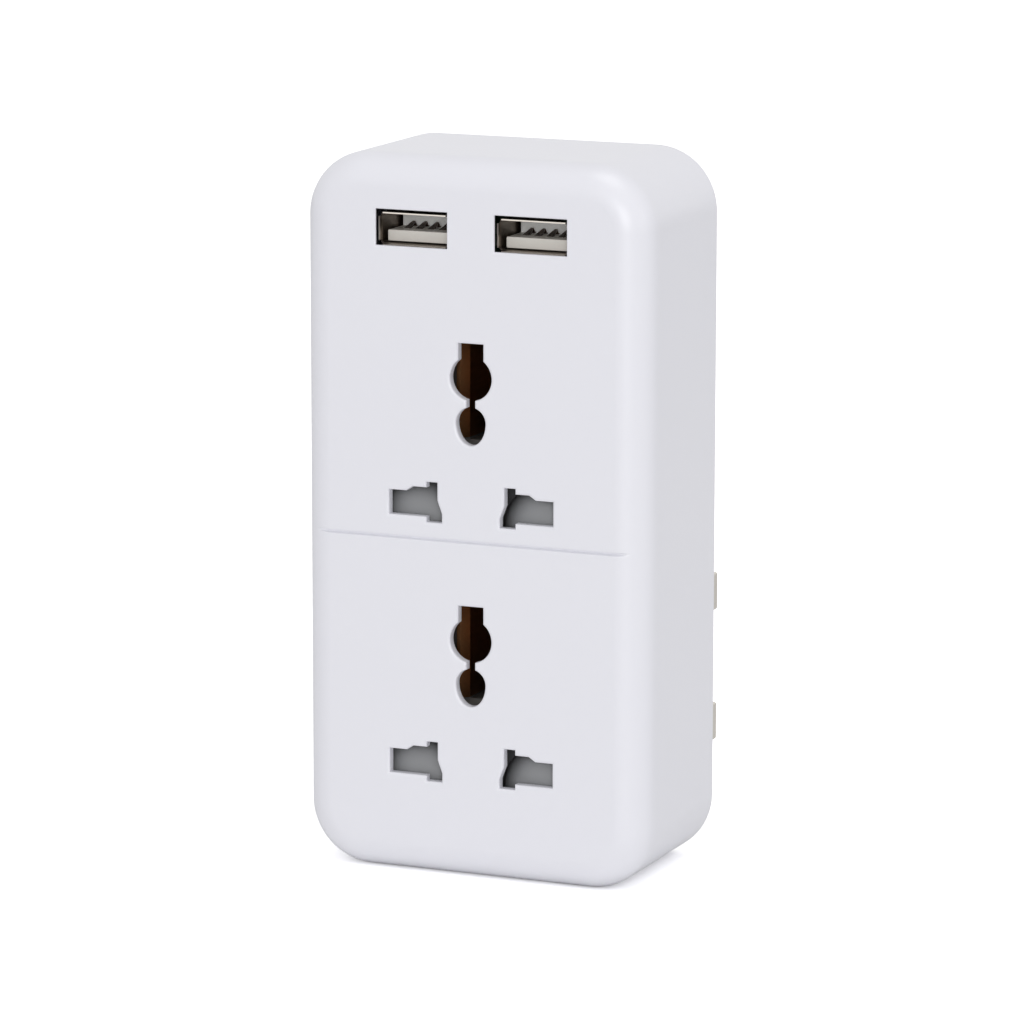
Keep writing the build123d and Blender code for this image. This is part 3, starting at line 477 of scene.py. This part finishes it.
def paint_light_and_shade_by_depth(name, colour, start, end):
    """Paints light and shade into a finish by depth: puts the depth group between its colour and
    its shader.
    The painted colour takes over between two depths behind the front, in millimetres."""
    tree = finishes[name].node_tree
    shader = tree.nodes["Principled BSDF"]
    source = shader.inputs["Base Color"].links[0].from_socket
    effect = add(tree, "ShaderNodeGroup", node_tree=depth_light_and_shade)
    effect.inputs["Painted light and shade colour"].default_value = (*colour, 1)
    effect.inputs["Start"].default_value = (front_y + start) * MM
    effect.inputs["End"].default_value = (front_y + end) * MM
    tree.links.new(source, effect.inputs["Colour"])
    tree.links.new(effect.outputs["Colour"], shader.inputs["Base Color"])


# Painted shade: the USB shells' metal turns dark from 1.33 to 1.40 mm behind the front, inside
# the tubes.
paint_light_and_shade_by_depth("usb_shell_metal", (0.21, 0.175, 0.145), 1.33, 1.40)
# Painted shade: the shutters' plastic darkens from 2.3 to 5.0 mm behind the front, towards the
# domes' feet.
paint_light_and_shade_by_depth("shutter_plastic", (0.075, 0.075, 0.08), 2.3, 5.0)
# Painted light: the tongue moulding turns lighter from 7.6 to 8.6 mm behind the front, on the
# back wall of a port.
paint_light_and_shade_by_depth("tongue_plastic", (0.95, 0.95, 0.93), 7.6, 8.6)
for node in nodes.values():
    slot_name = node.data.materials[0].name.split(".")[0]
    node.data.materials[0] = finishes[slot_name]
print(len(finishes), "finishes on", len(nodes), "nodes")

# %% [markdown]
# ## Front cover
# A deep tray. From the flat front the skin rolls over a 5.3 mm fillet into the sides, turns
# in at the back rim, and comes back inside to the flat inner wall. A shallow groove runs
# across between the two outlets and fades out where the fillet falls below its floor. It is
# a little deeper than the solid's, for the shade that a photograph shows. Round each opening
# the wall looks thin, because it is cut back behind the edge, and a dark line shows there when
# one looks in from the side. The same photograph gives the mouths' width of 12.4 mm and holes
# that are 0.12 mm smaller a side than the solid's.

# %% Outlines of the openings
slot_points = [
    (5.75, 3.7), (7.9, 3.7), (7.9, 2.8), (10.2, 2.8), (11.35, 2.05), (14.45, 2.05),
    (14.45, -2.2), (7.9, -2.2), (7.9, -3.1), (4.95, -3.1), (4.95, -1.45), (5.75, 0.7),
]  # across from the outlet's middle, and up from its line
right_slot = anticlockwise(slot_points)
left_slot = anticlockwise(right_slot * (-1, 1))


def arc(centre, across, up, start, stop, steps):
    """Points on an ellipse: centre plus (across cos t, up sin t), from start to stop degrees."""
    t = np.radians(np.linspace(start, stop, steps))
    return np.stack([centre[0] + across * np.cos(t), centre[1] + up * np.sin(t)], -1)


def crossing(half_width, radius):
    """The angle in degrees at which a circle meets an upright edge: the arc cosine of the
    edge's distance over the radius."""
    return math.degrees(math.acos(half_width / radius))


def earth_outline():
    """The right half from the top down is a straight slot, a round hole, a narrow neck and an
    egg, each meeting the next where their edges cross. The left half is its mirror image."""
    slot_half, slot_top, round_radius, round_height = 2.3, 26.65, 3.725, 20.9
    neck_half, egg_half, egg_height, egg_top, egg_bottom = 0.875, 2.675, 13.7, 16.35, 9.9
    high, low = crossing(slot_half, round_radius), -crossing(neck_half, round_radius)
    neck = crossing(neck_half, egg_half)
    upper, lower = egg_top - egg_height, egg_height - egg_bottom
    right = np.concatenate(
        [
            [(slot_half, slot_top)],
            arc((0, round_height), round_radius, round_radius, high, low, 34),
            arc((0, egg_height), egg_half, upper, neck, 0, 14),
            arc((0, egg_height), egg_half, lower, 0, -90, 20)[1:],
        ]
    )
    left = (right * (-1, 1))[-2::-1]
    return anticlockwise(np.concatenate([right, left]))


usb_half_x, usb_half_z = 6.22, 2.92
usb_mouth = square * (usb_half_x, usb_half_z)
outlet_openings = [right_slot, left_slot, earth_outline()]
outlet_openings = [hole + (0, z) for z in line_heights.values() for hole in outlet_openings]
usb_mouths = [anticlockwise(usb_mouth) + (side * usb_offset, usb_height) for side in (-1, 1)]
print(len(outlet_openings) + len(usb_mouths), "openings")

# %% Groove and outer skin
groove_top, groove_steep, groove_bottom, groove_gentle, beside = 0.3, 0.1, -0.46, 0.42, 0.05
groove_rows = groove_height + np.linspace(groove_bottom - beside, groove_top + beside, 18)


def with_groove(points):
    """Pushes points in the groove back. Its upper shoulder is steep and lies in shade, and its
    lower one is gentle and catches light. Each is a smooth step, 3 s^2 - 2 s^3."""
    t = points[:, 2] - groove_height
    upper = np.clip((groove_top - t) / groove_steep, 0, 1)
    lower = np.clip((t - groove_bottom) / groove_gentle, 0, 1)
    floor = front_y + groove_depth * upper**2 * (3 - 2 * upper) * lower**2 * (3 - 2 * lower)
    points = points.copy()
    points[:, 1] = np.where(points[:, 1] < floor, floor, points[:, 1])
    return points


side_rows = np.concatenate([groove_rows, [20.0, 30.0, 40.0, 50.0, 65.0, 75.0, 85.0, 95.0]])
side_rings, rim_edge = (-9.8, -4.0, 3.0, 10.0, 15.0), 0.25
walk = rounded_walk(
    body_width, body_height, corner_radius, (0, body_height / 2), np.sort(side_rows), 28
)
profile = rounding(0, front_y, front_fillet, 17) + [(0, y) for y in side_rings]
profile += back_rounding(back_y, rim_edge, 4) + [(side_wall, back_y)]
profile += rounding(side_wall, inner_front_y, front_fillet - side_wall, 9)[::-1]
rings = [with_groove(at_depth(outline_at(walk, inset), y)) for inset, y in profile]
print(len(rings), "rings of", len(rings[0]), "points")

# %% Front cover piece
hole_inset, hole_edge, hole_edge_depth, hole_wall, hole_relief = -0.12, 0.5, 0.35, 1.5, 0.4
mouth_edge, mouth_wall, mouth_relief = 0.3, 0.38, 0.7
hole_profile = rounding(hole_inset, front_y, hole_edge, 6, hole_edge_depth) + [
    (hole_inset, front_y + hole_wall),
    (hole_relief, front_y + hole_wall),
    (hole_relief, inner_front_y),
]
mouth_profile = rounding(0, front_y, mouth_edge, 5) + [
    (0, front_y + mouth_wall),
    (mouth_relief, front_y + mouth_wall),
    (mouth_relief, inner_front_y),
]
front_openings = [(hole, hole_profile) for hole in outlet_openings]
front_openings += [(mouth, mouth_profile) for mouth in usb_mouths]
front_outline = outline_at(walk, front_fillet)
outer_holes = [spread(hole, steps[0][0]) for hole, steps in front_openings]
inner_holes = [spread(hole, steps[-1][0]) for hole, steps in front_openings]
front_points, front_faces = fill_wall(front_outline, outer_holes, groove_rows)
inner_points, inner_faces = fill_wall(front_outline, inner_holes)
cover_sheets = [
    skin(rings),
    (with_groove(at_depth(front_points, front_y)), front_faces),
    (at_depth(inner_points, inner_front_y), inner_faces),
] + [skin(opening(hole, steps)) for hole, steps in front_openings]
make_piece("front_cover_moulding", cover_sheets, "case", "housing_plastic", "front_cover")

# %% [markdown]
# ## Shutters
# Behind each pair of slots one grey slide closes the way to the contacts. Each slot looks on
# to a dome, a quarter of an ellipse turned about an axis into the wall, so that a blade
# pushes the slide down. The dome is drawn on a polar grid that stops at the slide's edges.


# %% Flat walls and blocks
def section(width, height, radius, centre, steps=6):
    """A closed rounded rectangle of points."""
    return outline_at(rounded_walk(width, height, radius, centre, (), steps), 0)


def flat(y, outer, holes=()):
    """A filled wall at the depth y."""
    points, faces = fill_wall(outer, list(holes))
    return at_depth(points, y), faces


def block(low, high, edge=0.15):
    """A box with rounded edges: rings of a rounded rectangle from front to back, and two ends."""
    low, high = np.array(low, float), np.array(high, float)
    (width, _, height), (x, _, z) = high - low, (low + high) / 2
    walk_ = rounded_walk(width, height, edge * 2, (x, z), (), 4)
    profile_ = rounding(0, low[1], edge, 4) + back_rounding(high[1], edge, 4)
    ends = [flat(y, outline_at(walk_, inset)) for inset, y in (profile_[0], profile_[-1])]
    return [skin([at_depth(outline_at(walk_, inset), y) for inset, y in profile_])] + ends


# %% Shutter shapes
def spring_web(width, front, back, low, high, pocket_top, pocket_radius=2.0, edge=0.15):
    """The upright web in the middle, with a round pocket for the spring in its underside. It is
    built standing up, as rings at heights, so Y and Z change places at the end."""
    middle = (0, (front + back) / 2)
    outer = rounded_walk(width, back - front, 2 * edge, middle, (), 4)
    pocket = arc(middle, pocket_radius, pocket_radius, 0, 360, 37)[:-1]
    profile_ = rounding(0, low, edge, 4) + back_rounding(high, edge, 4)
    sheets = [
        skin([at_depth(outline_at(outer, inset), z) for inset, z in profile_]),
        flat(low, outline_at(outer, edge), [pocket]),
        flat(high, outline_at(outer, edge)),
        flat(pocket_top, pocket),
        skin(opening(pocket, [(0, low), (0, pocket_top)])),
    ]
    return [(points[:, [0, 2, 1]], faces) for points, faces in sheets]


def dome(x, z, radius, depth, y, bounds, around=96, out=20, middle=0.03, foot=0.05):
    """A point at angle a and share u lies r = reach(a) sin(u 90 deg) from the axis, at the
    depth y + depth (1 - sqrt(1 - r^2 / radius^2)). reach is the radius, cut at the slide's
    edges. A short upright foot goes on into the slide."""
    a = np.linspace(0, 2 * math.pi, around, endpoint=False)
    left, right, bottom, top = bounds
    cosine, sine = np.cos(a), np.sin(a)
    way_x = np.where(cosine > 0, right - x, x - left) / np.maximum(np.abs(cosine), almost_nothing)
    way_z = np.where(sine > 0, top - z, z - bottom) / np.maximum(np.abs(sine), almost_nothing)
    reach = np.minimum(np.minimum(way_x, way_z), radius)
    r = np.sin(np.linspace(middle, 1, out) * math.pi / 2)[:, None] * reach
    height = y + depth * (1 - np.sqrt(np.clip(1 - (r / radius) ** 2, 0, 1)))
    rings_ = np.stack([x + r * cosine, height, z + r * sine], -1)
    base = at_depth(rings_[-1][:, [0, 2]], y + depth + foot)
    points, faces = skin([*rings_, base])
    first = np.arange(around)[None]
    return [(points, faces), (points, first), (points, out * around + first)]


# %% Shutter pieces
front_gap = 0.3
shutter_front_y = inner_front_y + front_gap
ramp_depth, ramp_radius, ramp_x, ramp_drop = 3.4, 7.4, 11.115, 3.6
slide_below, slide_above, slide_depth, pocket_rise = 4.7, 4.5, 5.6, 2.6
web_half, slide_half, web_overlap = 3.6, 16.5, 0.2
slide_y, slide_back_y = shutter_front_y + ramp_depth, shutter_front_y + slide_depth
for name, line in line_heights.items():
    low_z, high_z = line - slide_below, line + slide_above
    sheets = spring_web(
        2 * web_half, shutter_front_y, slide_back_y, low_z, high_z, line + pocket_rise
    )
    for side in (-1, 1):
        near, far = (web_half, slide_half) if side > 0 else (-slide_half, -web_half)
        sheets += block((near - web_overlap, slide_y, low_z), (far, slide_back_y, high_z))
        sheets += dome(
            side * ramp_x, line - ramp_drop, ramp_radius, ramp_depth, shutter_front_y,
            (near, far, low_z, high_z),
        )
    shutter = name + "_shutter"
    make_piece(shutter + "_slide_moulding", sheets, shutter, "shutter_plastic", shutter)

# %% [markdown]
# ## Return springs
# A round wire on a helix stands between a shelf of the case and the pocket of each slide. It
# is drawn at rest, and each coil gets a mesh of its own.


# %% Spring pieces
def coil(bottom, top, turns, radius, wire, centre_y, steps=28, around=8):
    """The wire's centre at angle a is (radius cos a, centre_y + radius sin a) and rises evenly.
    Round it, a point at angle b is wire (outward cos b + upward sin b) away from the centre."""
    a = np.linspace(0, 2 * math.pi * turns, turns * steps + 1)
    zero, rise = 0 * a, (top - bottom) / a[-1]
    outward = np.stack([np.cos(a), np.sin(a), zero], -1)
    along = np.stack([-radius * np.sin(a), radius * np.cos(a), zero + rise], -1)
    upward = np.cross(outward, along / np.linalg.norm(along, axis=1)[:, None])
    axis = np.stack([zero, zero + centre_y, np.linspace(bottom, top, len(a))], -1)
    b = np.linspace(0, 2 * math.pi, around, endpoint=False)[None, :, None]
    rings_ = (radius * outward + axis)[:, None] + wire * (
        outward[:, None] * np.cos(b) + upward[:, None] * np.sin(b)
    )
    points, faces = skin(rings_)
    ends = np.array([np.arange(around), len(points) - around + np.arange(around)])
    return [(points, faces), (points, ends)]


slide_travel, shelf_drop = 8.0, 14.6
spring_turns, spring_radius, wire_radius, end_gap, spring_sharp = 8, 1.5, 0.2, 0.24, 60.0
middle_y = (shutter_front_y + slide_back_y) / 2
for name, line in line_heights.items():
    shutter, shelf_z = name + "_shutter", line - shelf_drop
    wire = coil(
        shelf_z + end_gap, line + pocket_rise - end_gap,
        spring_turns, spring_radius, wire_radius, middle_y,
    )
    spring = make_piece(
        shutter + "_spring_coil", wire, "case", "spring_steel", shutter + "_spring", spring_sharp
    )
    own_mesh(spring)

# %% [markdown]
# ## Rear cover
# A flat plate that sits inside the case's rim with a small gap all round. Its outer face has
# the three pin holes and four stepped screw recesses. The pin seats and the pillars that hold
# the contact strips rise from its inner face, each a wall with a flat end.


# %% Places of pins, pillars and screws
def circle(x, z, radius, steps=40):
    """A closed circle of points."""
    return arc((x, z), radius, radius, 0, 360, steps + 1)[:-1]


plate_y, seat_y, live_pillar_y, earth_pillar_y, recess_y = 13.1, 10.4, 4.8, 8.8, 14.1
pin_pitch, pin_edge = 11.115, 0.35
earth_size, line_size = (8.0, 4.0), (4.0, 6.35)
plug_height = line_heights["lower"] + pin_pitch
pin_places = {
    "earth": (0.0, plug_height, *earth_size),
    "live": (2 * pin_pitch, plug_height + pin_pitch, *line_size),
    "neutral": (2 * pin_pitch, plug_height - pin_pitch, *line_size),
}
seat_wall, seat_edge, pillar_radius, pillar_x, earth_pillar_rise = 1.6, 1.0, 2.2, 11.4, 20
screw_x, screw_from_end, recess_radius, recess_step = 23.2, 7.3, 2.7, 1.2
screw_heights = (screw_from_end, body_height - screw_from_end)
pin_holes = [section(w, h, pin_edge, (x, z)) for x, z, w, h in pin_places.values()]
seats = [
    section(w + 2 * seat_wall, h + 2 * seat_wall, seat_edge, (x, z))
    for x, z, w, h in pin_places.values()
]
pillars = [
    (circle(x, z, pillar_radius), live_pillar_y)
    for x in (-pillar_x, pillar_x) for z in line_heights.values()
]
pillars += [
    (circle(0, z + earth_pillar_rise, pillar_radius), earth_pillar_y)
    for z in line_heights.values()
]
recesses = [circle(x, z, recess_radius) for x in (-screw_x, screw_x) for z in screw_heights]
print(len(pin_holes), "pin holes", len(pillars), "pillars", len(recesses), "screw recesses")

# %% Rear cover piece
plate_width, plate_height, plate_radius, plate_edge = 55.3, 112.9, 8.1, 0.2
rear_edge = [(inset, back_y - y) for inset, y in rounding(0, 0, plate_edge, 5)]
plate_walk = rounded_walk(plate_width, plate_height, plate_radius, (0, body_height / 2))
plate_holes = seats + [outline for outline, _ in pillars]
plate_holes += [spread(hole, -recess_step) for hole in recesses]
rear_sheets = [
    skin([at_depth(outline_at(plate_walk, inset), y) for inset, y in rear_edge + [(0, plate_y)]]),
    flat(
        back_y,
        outline_at(plate_walk, plate_edge),
        [spread(hole, plate_edge) for hole in pin_holes + recesses],
    ),
    flat(plate_y, outline_at(plate_walk, 0), plate_holes),
]
step = [(0, recess_y), (-recess_step, recess_y), (-recess_step, plate_y)]
rear_sheets += [skin(opening(hole, rear_edge + step)) for hole in recesses]
for hole, seat in zip(pin_holes, seats):
    rear_sheets += [skin(opening(hole, rear_edge + [(0, seat_y)])), flat(seat_y, seat, [hole])]
    rear_sheets += [skin(opening(seat, [(0, plate_y), (0, seat_y)]))]
for outline, y in pillars:
    rear_sheets += [skin(opening(outline, [(0, plate_y), (0, y)])), flat(y, outline)]
make_piece("rear_cover_moulding", rear_sheets, "case", "housing_plastic", "rear_cover")

# %% [markdown]
# ## Plug pins
# Each pin is a run of rounded rectangles along Y: a blunt tapered tip with softened corners,
# the shank, the flange that rests on its seat, and a round tail for its strip. On the live
# and neutral pins a black sleeve fills a step in the shank.


# %% Runs of rounded rectangles
def walls(x, z, runs):
    """A ring for each run: a rounded rectangle of (width, height, radius) at its depth."""
    return [at_depth(section(w, h, r, (x, z)), y) for w, h, r, y in runs]


def bar(x, z, runs):
    """A closed bar: the skin of its runs and two ends."""
    rings_ = walls(x, z, runs)
    ends = [flat(ring[0, 1], ring[:, [0, 2]]) for ring in (rings_[0], rings_[-1])]
    return [skin(rings_), *ends]


# %% Pin pieces
pin_lengths = {"earth": 22.7, "live": 17.7, "neutral": 17.7}
tip_profile = [(1.08, 0.0), (0.97, 0.03), (0.88, 0.12), (0.1, 1.18), (0.03, 1.3), (0.0, 1.5)]
tip_edge_loss, small_edge, step_chamfer = 0.2, 0.3, 0.1
sleeve_start, sleeve_end, sleeve_step = back_y - 1.5, back_y + 9.2, 1.0
sleeve_profile = [(0.0, sleeve_start), (0.0, sleeve_end - 0.15), (0.05, sleeve_end - 0.04)]
sleeve_profile += [(0.15, sleeve_end)]
flange_margin, flange_y, tail_size, tail_length = 2.4, seat_y - 1.2, (3.0, 3.0, 1.49), 0.8
for name, (x, z, w, h) in pin_places.items():
    tip_y = back_y + pin_lengths[name]
    strip_y = earth_pillar_y if name == "earth" else live_pillar_y
    full = (w, h, pin_edge)
    flange = (w + flange_margin, h + flange_margin, small_edge)
    runs = [
        (w - 2 * d, h - 2 * d, pin_edge - tip_edge_loss * d, tip_y - y) for d, y in tip_profile
    ]
    if name != "earth":
        thin = (w - sleeve_step, h - sleeve_step, small_edge)
        edge = (w - 2 * step_chamfer, h - 2 * step_chamfer, small_edge)
        runs += [(*full, sleeve_end + step_chamfer), (*edge, sleeve_end)]
        runs += [(*thin, sleeve_end), (*thin, sleeve_start), (*full, sleeve_start)]
        outer = [(w - 2 * d, h - 2 * d, pin_edge, y) for d, y in sleeve_profile]
        sleeve = walls(x, z, outer + [(*thin, sleeve_end), (*thin, sleeve_start)])
        make_piece(
            name + "_pin_sleeve_moulding", [skin(sleeve + sleeve[:1])], "case", "sleeve_plastic",
            name + "_pin_sleeve",
        )
    runs += [(*full, seat_y), (*flange, seat_y), (*flange, flange_y), (*full, flange_y)]
    tail = [(*tail_size, strip_y), (*tail_size, strip_y - tail_length)]
    pin = bar(x, z, runs + [(*full, strip_y)]) + bar(x, z, tail)
    make_piece(name + "_pin_bar", pin, "case", "pin_nickel", name + "_pin")

# %% [markdown]
# ## USB ports
# Each port is a folded sheet metal shell. Its tube ends 2.1 mm behind the front, and four
# separate lips bend outwards from there, so the corners stay open and dark. An off-white
# moulding closes the back of the tube and reaches forward as the tongue. On the tongue lie
# four sprung contacts: a long ramp that narrows, a crest, a steep back and a foot. The depths
# come from a photograph, where the parts stand deeper and lower than in the CAD source.


# %% Bent strips
def strip(path, width, thickness, place):
    """A bent strip of sheet. The path is a run of (y, z) points, and each point's normal is the
    mean of its two edge normals. The strip is as wide as width, one number or one for each
    point, and lies under the path."""
    path = np.asarray(path, float)
    way = np.gradient(path, axis=0)
    normal = np.stack([-way[:, 1], way[:, 0]], -1) / np.linalg.norm(way, axis=1)[:, None]
    half = np.broadcast_to(width, len(path)) / 2
    rings_ = [
        [(place - w, *a), (place + w, *a), (place + w, *b), (place - w, *b)]
        for w, a, b in zip(half, path, path - normal * thickness)
    ]
    points, faces = skin(rings_)
    ends = np.array([[0, 1, 2, 3], [4 * len(path) - 4 + i for i in range(4)]])
    return [(points, faces), (points, ends)]


def turned(sheets, place, height, quarter_turns):
    """Sheets turned about the port's axis by quarter turns: (x, z) goes to (z, -x) each."""
    out = []
    for points, faces in sheets:
        x, z = points[:, 0] - place, points[:, 2] - height
        for _ in range(quarter_turns):
            x, z = z, -x
        out.append((np.stack([x + place, points[:, 1], z + height], -1), faces))
    return out


# %% USB sizes
shell_height, shell_half_x, shell_half_z, sheet = usb_height - 0.4, 6.15, 2.6, 0.25
tube_edge, tube_inner_edge = 0.6, 0.35
lip_sheet, lip_overlap, lip_length, lip_sink, lip_flare = 0.21, 0.1, 0.9, 0.02, 0.1
lips = [(shell_half_z, 5.5), (shell_half_x, 1.95)] * 2  # distance from the axis, half width
tube_y, board_y, block_y = front_y + 2.1, front_y + 14.8, front_y + 8.9
tongue_y, tongue_half, tongue_low = front_y + 2.86, 5.3, shell_height - 2.12
tongue_top, tongue_edge, block_overlap = tongue_low + 1.8, 0.12, 0.3
block_half_x, block_half_z = 5.4, 2.3
crest_y, crest_height, contact_lift, contact_sheet = tongue_y + 5.4, 0.8, 0.05, 0.2
contact_path = [
    (-2.8, 0), (-2.5, 0.05), (-1.3, 0.5), (-0.3, 0.95), (0, 1), (0.08, 0.85), (0.12, 0.3),
    (0.25, 0.1), (2.0, 0.1),
]  # along Y from the crest, and up as a share of the crest's height
contact_widths = [1.1, 1.1, 0.85, 0.45, 0.36, 0.4, 0.7, 0.8, 0.8]
contact_places = (-3.075, -1.025, 1.025, 3.075)
print("tongues stand", round(tongue_y - front_y, 2), "mm behind the front")


# %% USB pieces
def shell(x):
    """A tube of four rings, closed on itself, and a lip on each side that bends outwards: at
    the share t of its length it has moved out by the flare times t squared."""
    half_x, half_z, place = shell_half_x, shell_half_z, (x, shell_height)
    outer = section(2 * half_x, 2 * half_z, tube_edge, place)
    inner = section(2 * (half_x - sheet), 2 * (half_z - sheet), tube_inner_edge, place)
    tube = [(outer, board_y), (outer, tube_y), (inner, tube_y), (inner, board_y)]
    sheets = [skin([at_depth(outline, y) for outline, y in tube + tube[:1]])]
    t = np.linspace(1, 0, 6)
    for turns, (half, reach) in enumerate(lips):
        path = np.stack([
            tube_y + lip_overlap - lip_length * t,
            shell_height + half - lip_sink + lip_flare * t**2,
        ], -1)
        sheets += turned(strip(path, 2 * reach, lip_sheet, x), x, shell_height, turns)
    return sheets


for name, side in (("left", -1), ("right", 1)):
    x = side * usb_offset
    node = "usb_shell_" + name
    make_piece(node + "_sheet", shell(x), "case", "usb_shell_metal", node)
    foot_z = tongue_top + contact_lift
    path = [(crest_y + t, foot_z + crest_height * share) for t, share in contact_path]
    contacts = []
    for place in contact_places:
        contacts += strip(path, contact_widths, contact_sheet, x + place)
    node = "usb_contacts_" + name
    make_piece(node + "_springs", contacts, "case", "usb_contact_metal", node)
    tongue = block(
        (x - tongue_half, tongue_y, tongue_low),
        (x + tongue_half, block_y + block_overlap, tongue_top),
        tongue_edge,
    )
    tongue += block(
        (x - block_half_x, block_y, shell_height - block_half_z),
        (x + block_half_x, board_y, shell_height + block_half_z),
    )
    node = "usb_tongue_" + name
    make_piece(node + "_moulding", tongue, "case", "tongue_plastic", node)

# %% [markdown]
# ## Stage
# The photograph shows the object on white with a soft shadow at its foot. The floor is a
# pale matte plane whose colour is lifted for camera rays only, so it shows as white and still
# takes the shadow. The world is white to the camera, in reflections and through clear pieces,
# and softer as a light. So metal shows a white room, and matte plastic is lit by the lamps.


# %% Floor and world
def two_tones(tree, factor, plain, other):
    """A grey of the strength plain where the factor is 0, and of the strength other at 1."""
    tone = add(tree, "ShaderNodeMix", data_type="RGBA")
    switch, first, second = (tone.inputs[index] for index in MIX_INPUTS)
    first.default_value = (plain, plain, plain, 1)
    second.default_value = (other, other, other, 1)
    tree.links.new(factor, switch)
    return tone.outputs[MIX_RESULT]


def make_floor(half=4.0, seen=1.9, lit=0.95):
    """A flat sheet under the object, which the camera sees brighter than it lights."""
    mesh = bpy.data.meshes.new("floor")
    corners = [(-half, -half, 0), (half, -half, 0), (half, half, 0), (-half, half, 0)]
    mesh.from_pydata(corners, [], [(0, 1, 2, 3)])
    floor = bpy.data.objects.new("floor", mesh)
    bpy.context.scene.collection.objects.link(floor)
    material = bpy.data.materials.new("floor_paper")
    material.use_nodes = True
    tree = material.node_tree
    tree.nodes.clear()
    surface = add(tree, "ShaderNodeBsdfDiffuse")
    output = add(tree, "ShaderNodeOutputMaterial")
    path = add(tree, "ShaderNodeLightPath")
    colour = two_tones(tree, path.outputs["Is Camera Ray"], lit, seen)
    tree.links.new(colour, surface.inputs["Color"])
    tree.links.new(surface.outputs[0], output.inputs["Surface"])
    mesh.materials.append(material)


def make_world(light=0.55, seen=1.0):
    """White where the camera, a reflection or a clear piece looks, a grey light elsewhere."""
    world = bpy.data.worlds.new("studio")
    bpy.context.scene.world = world
    world.use_nodes = True
    tree = world.node_tree
    tree.nodes.clear()
    path = add(tree, "ShaderNodeLightPath")
    looks = path.outputs["Is Camera Ray"]
    for ray in ("Is Glossy Ray", "Is Transmission Ray"):
        either = add(tree, "ShaderNodeMath", operation="MAXIMUM")
        tree.links.new(looks, either.inputs[0])
        tree.links.new(path.outputs[ray], either.inputs[1])
        looks = either.outputs[0]
    sky = add(tree, "ShaderNodeBackground")
    output = add(tree, "ShaderNodeOutputWorld")
    tree.links.new(two_tones(tree, looks, light, seen), sky.inputs["Color"])
    tree.links.new(sky.outputs[0], output.inputs["Surface"])


make_floor()
make_world()

# %% [markdown]
# ## Lamps and camera
# Four large soft lamps: the key in front and to the right, a weak one on the left, one beside
# the right side, and one above that lights the top and the floor, whose bounce lifts the
# lower edges. The camera stands where the photograph was taken from, found by fitting the
# case's corners, slots and ports in the picture: about 23 degrees to the right and 11 degrees
# above. Its lens is the long one that gives the picture's weak perspective.


# %% Lamps
def aim(thing, place, target, roll=0.0):
    """Puts a thing at place so that its -Z axis points at target and its Y axis is up."""
    way = (Vector(target) - Vector(place)).normalized()
    turn = way.to_track_quat("-Z", "Y").to_matrix().to_4x4()
    thing.matrix_world = Matrix.Translation(place) @ turn @ Matrix.Rotation(roll, 4, "Z")


def soft_lamp(name, place, size, power, height=0.06):
    """A square area lamp in metres and watts that faces the middle of the object."""
    data = bpy.data.lights.new(name, "AREA")
    data.size, data.energy = size, power
    lamp = bpy.data.objects.new(name, data)
    bpy.context.scene.collection.objects.link(lamp)
    aim(lamp, place, (0, 0, height))
    print(name, "lamp", power, "W")


soft_lamp("key", (0.9, -2.2, 0.5), 1.0, 15.9)
soft_lamp("fill", (-1.5, -1.2, 0.8), 1.2, 0.5)
soft_lamp("side", (2.3, -0.2, 0.6), 1.0, 3.0)
soft_lamp("above", (0.2, -0.25, 1.8), 1.0, 7.6)

# %% Camera
azimuth, elevation, roll = np.radians([23.2444, 10.9034, 0.0744])
target = np.array([7.2993, -15.6, 61.4745]) * MM
distance, focal_pixels, picture_pixels, sensor_width = 0.8646068, 5416.43, 1024, 36.0
level = math.cos(elevation)
back = np.array([math.sin(azimuth) * level, -math.cos(azimuth) * level, math.sin(elevation)])
camera_data = bpy.data.cameras.new("camera")
camera_data.sensor_width = sensor_width
camera_data.lens = focal_pixels * sensor_width / picture_pixels
camera_data.clip_start = 0.05
camera = bpy.data.objects.new("camera", camera_data)
bpy.context.scene.collection.objects.link(camera)
aim(camera, target + back * distance, target, roll)
bpy.context.scene.camera = camera
bpy.context.scene.view_settings.view_transform = "Standard"
print("camera at", [round(v, 4) for v in camera.location], "lens", round(camera_data.lens, 2))
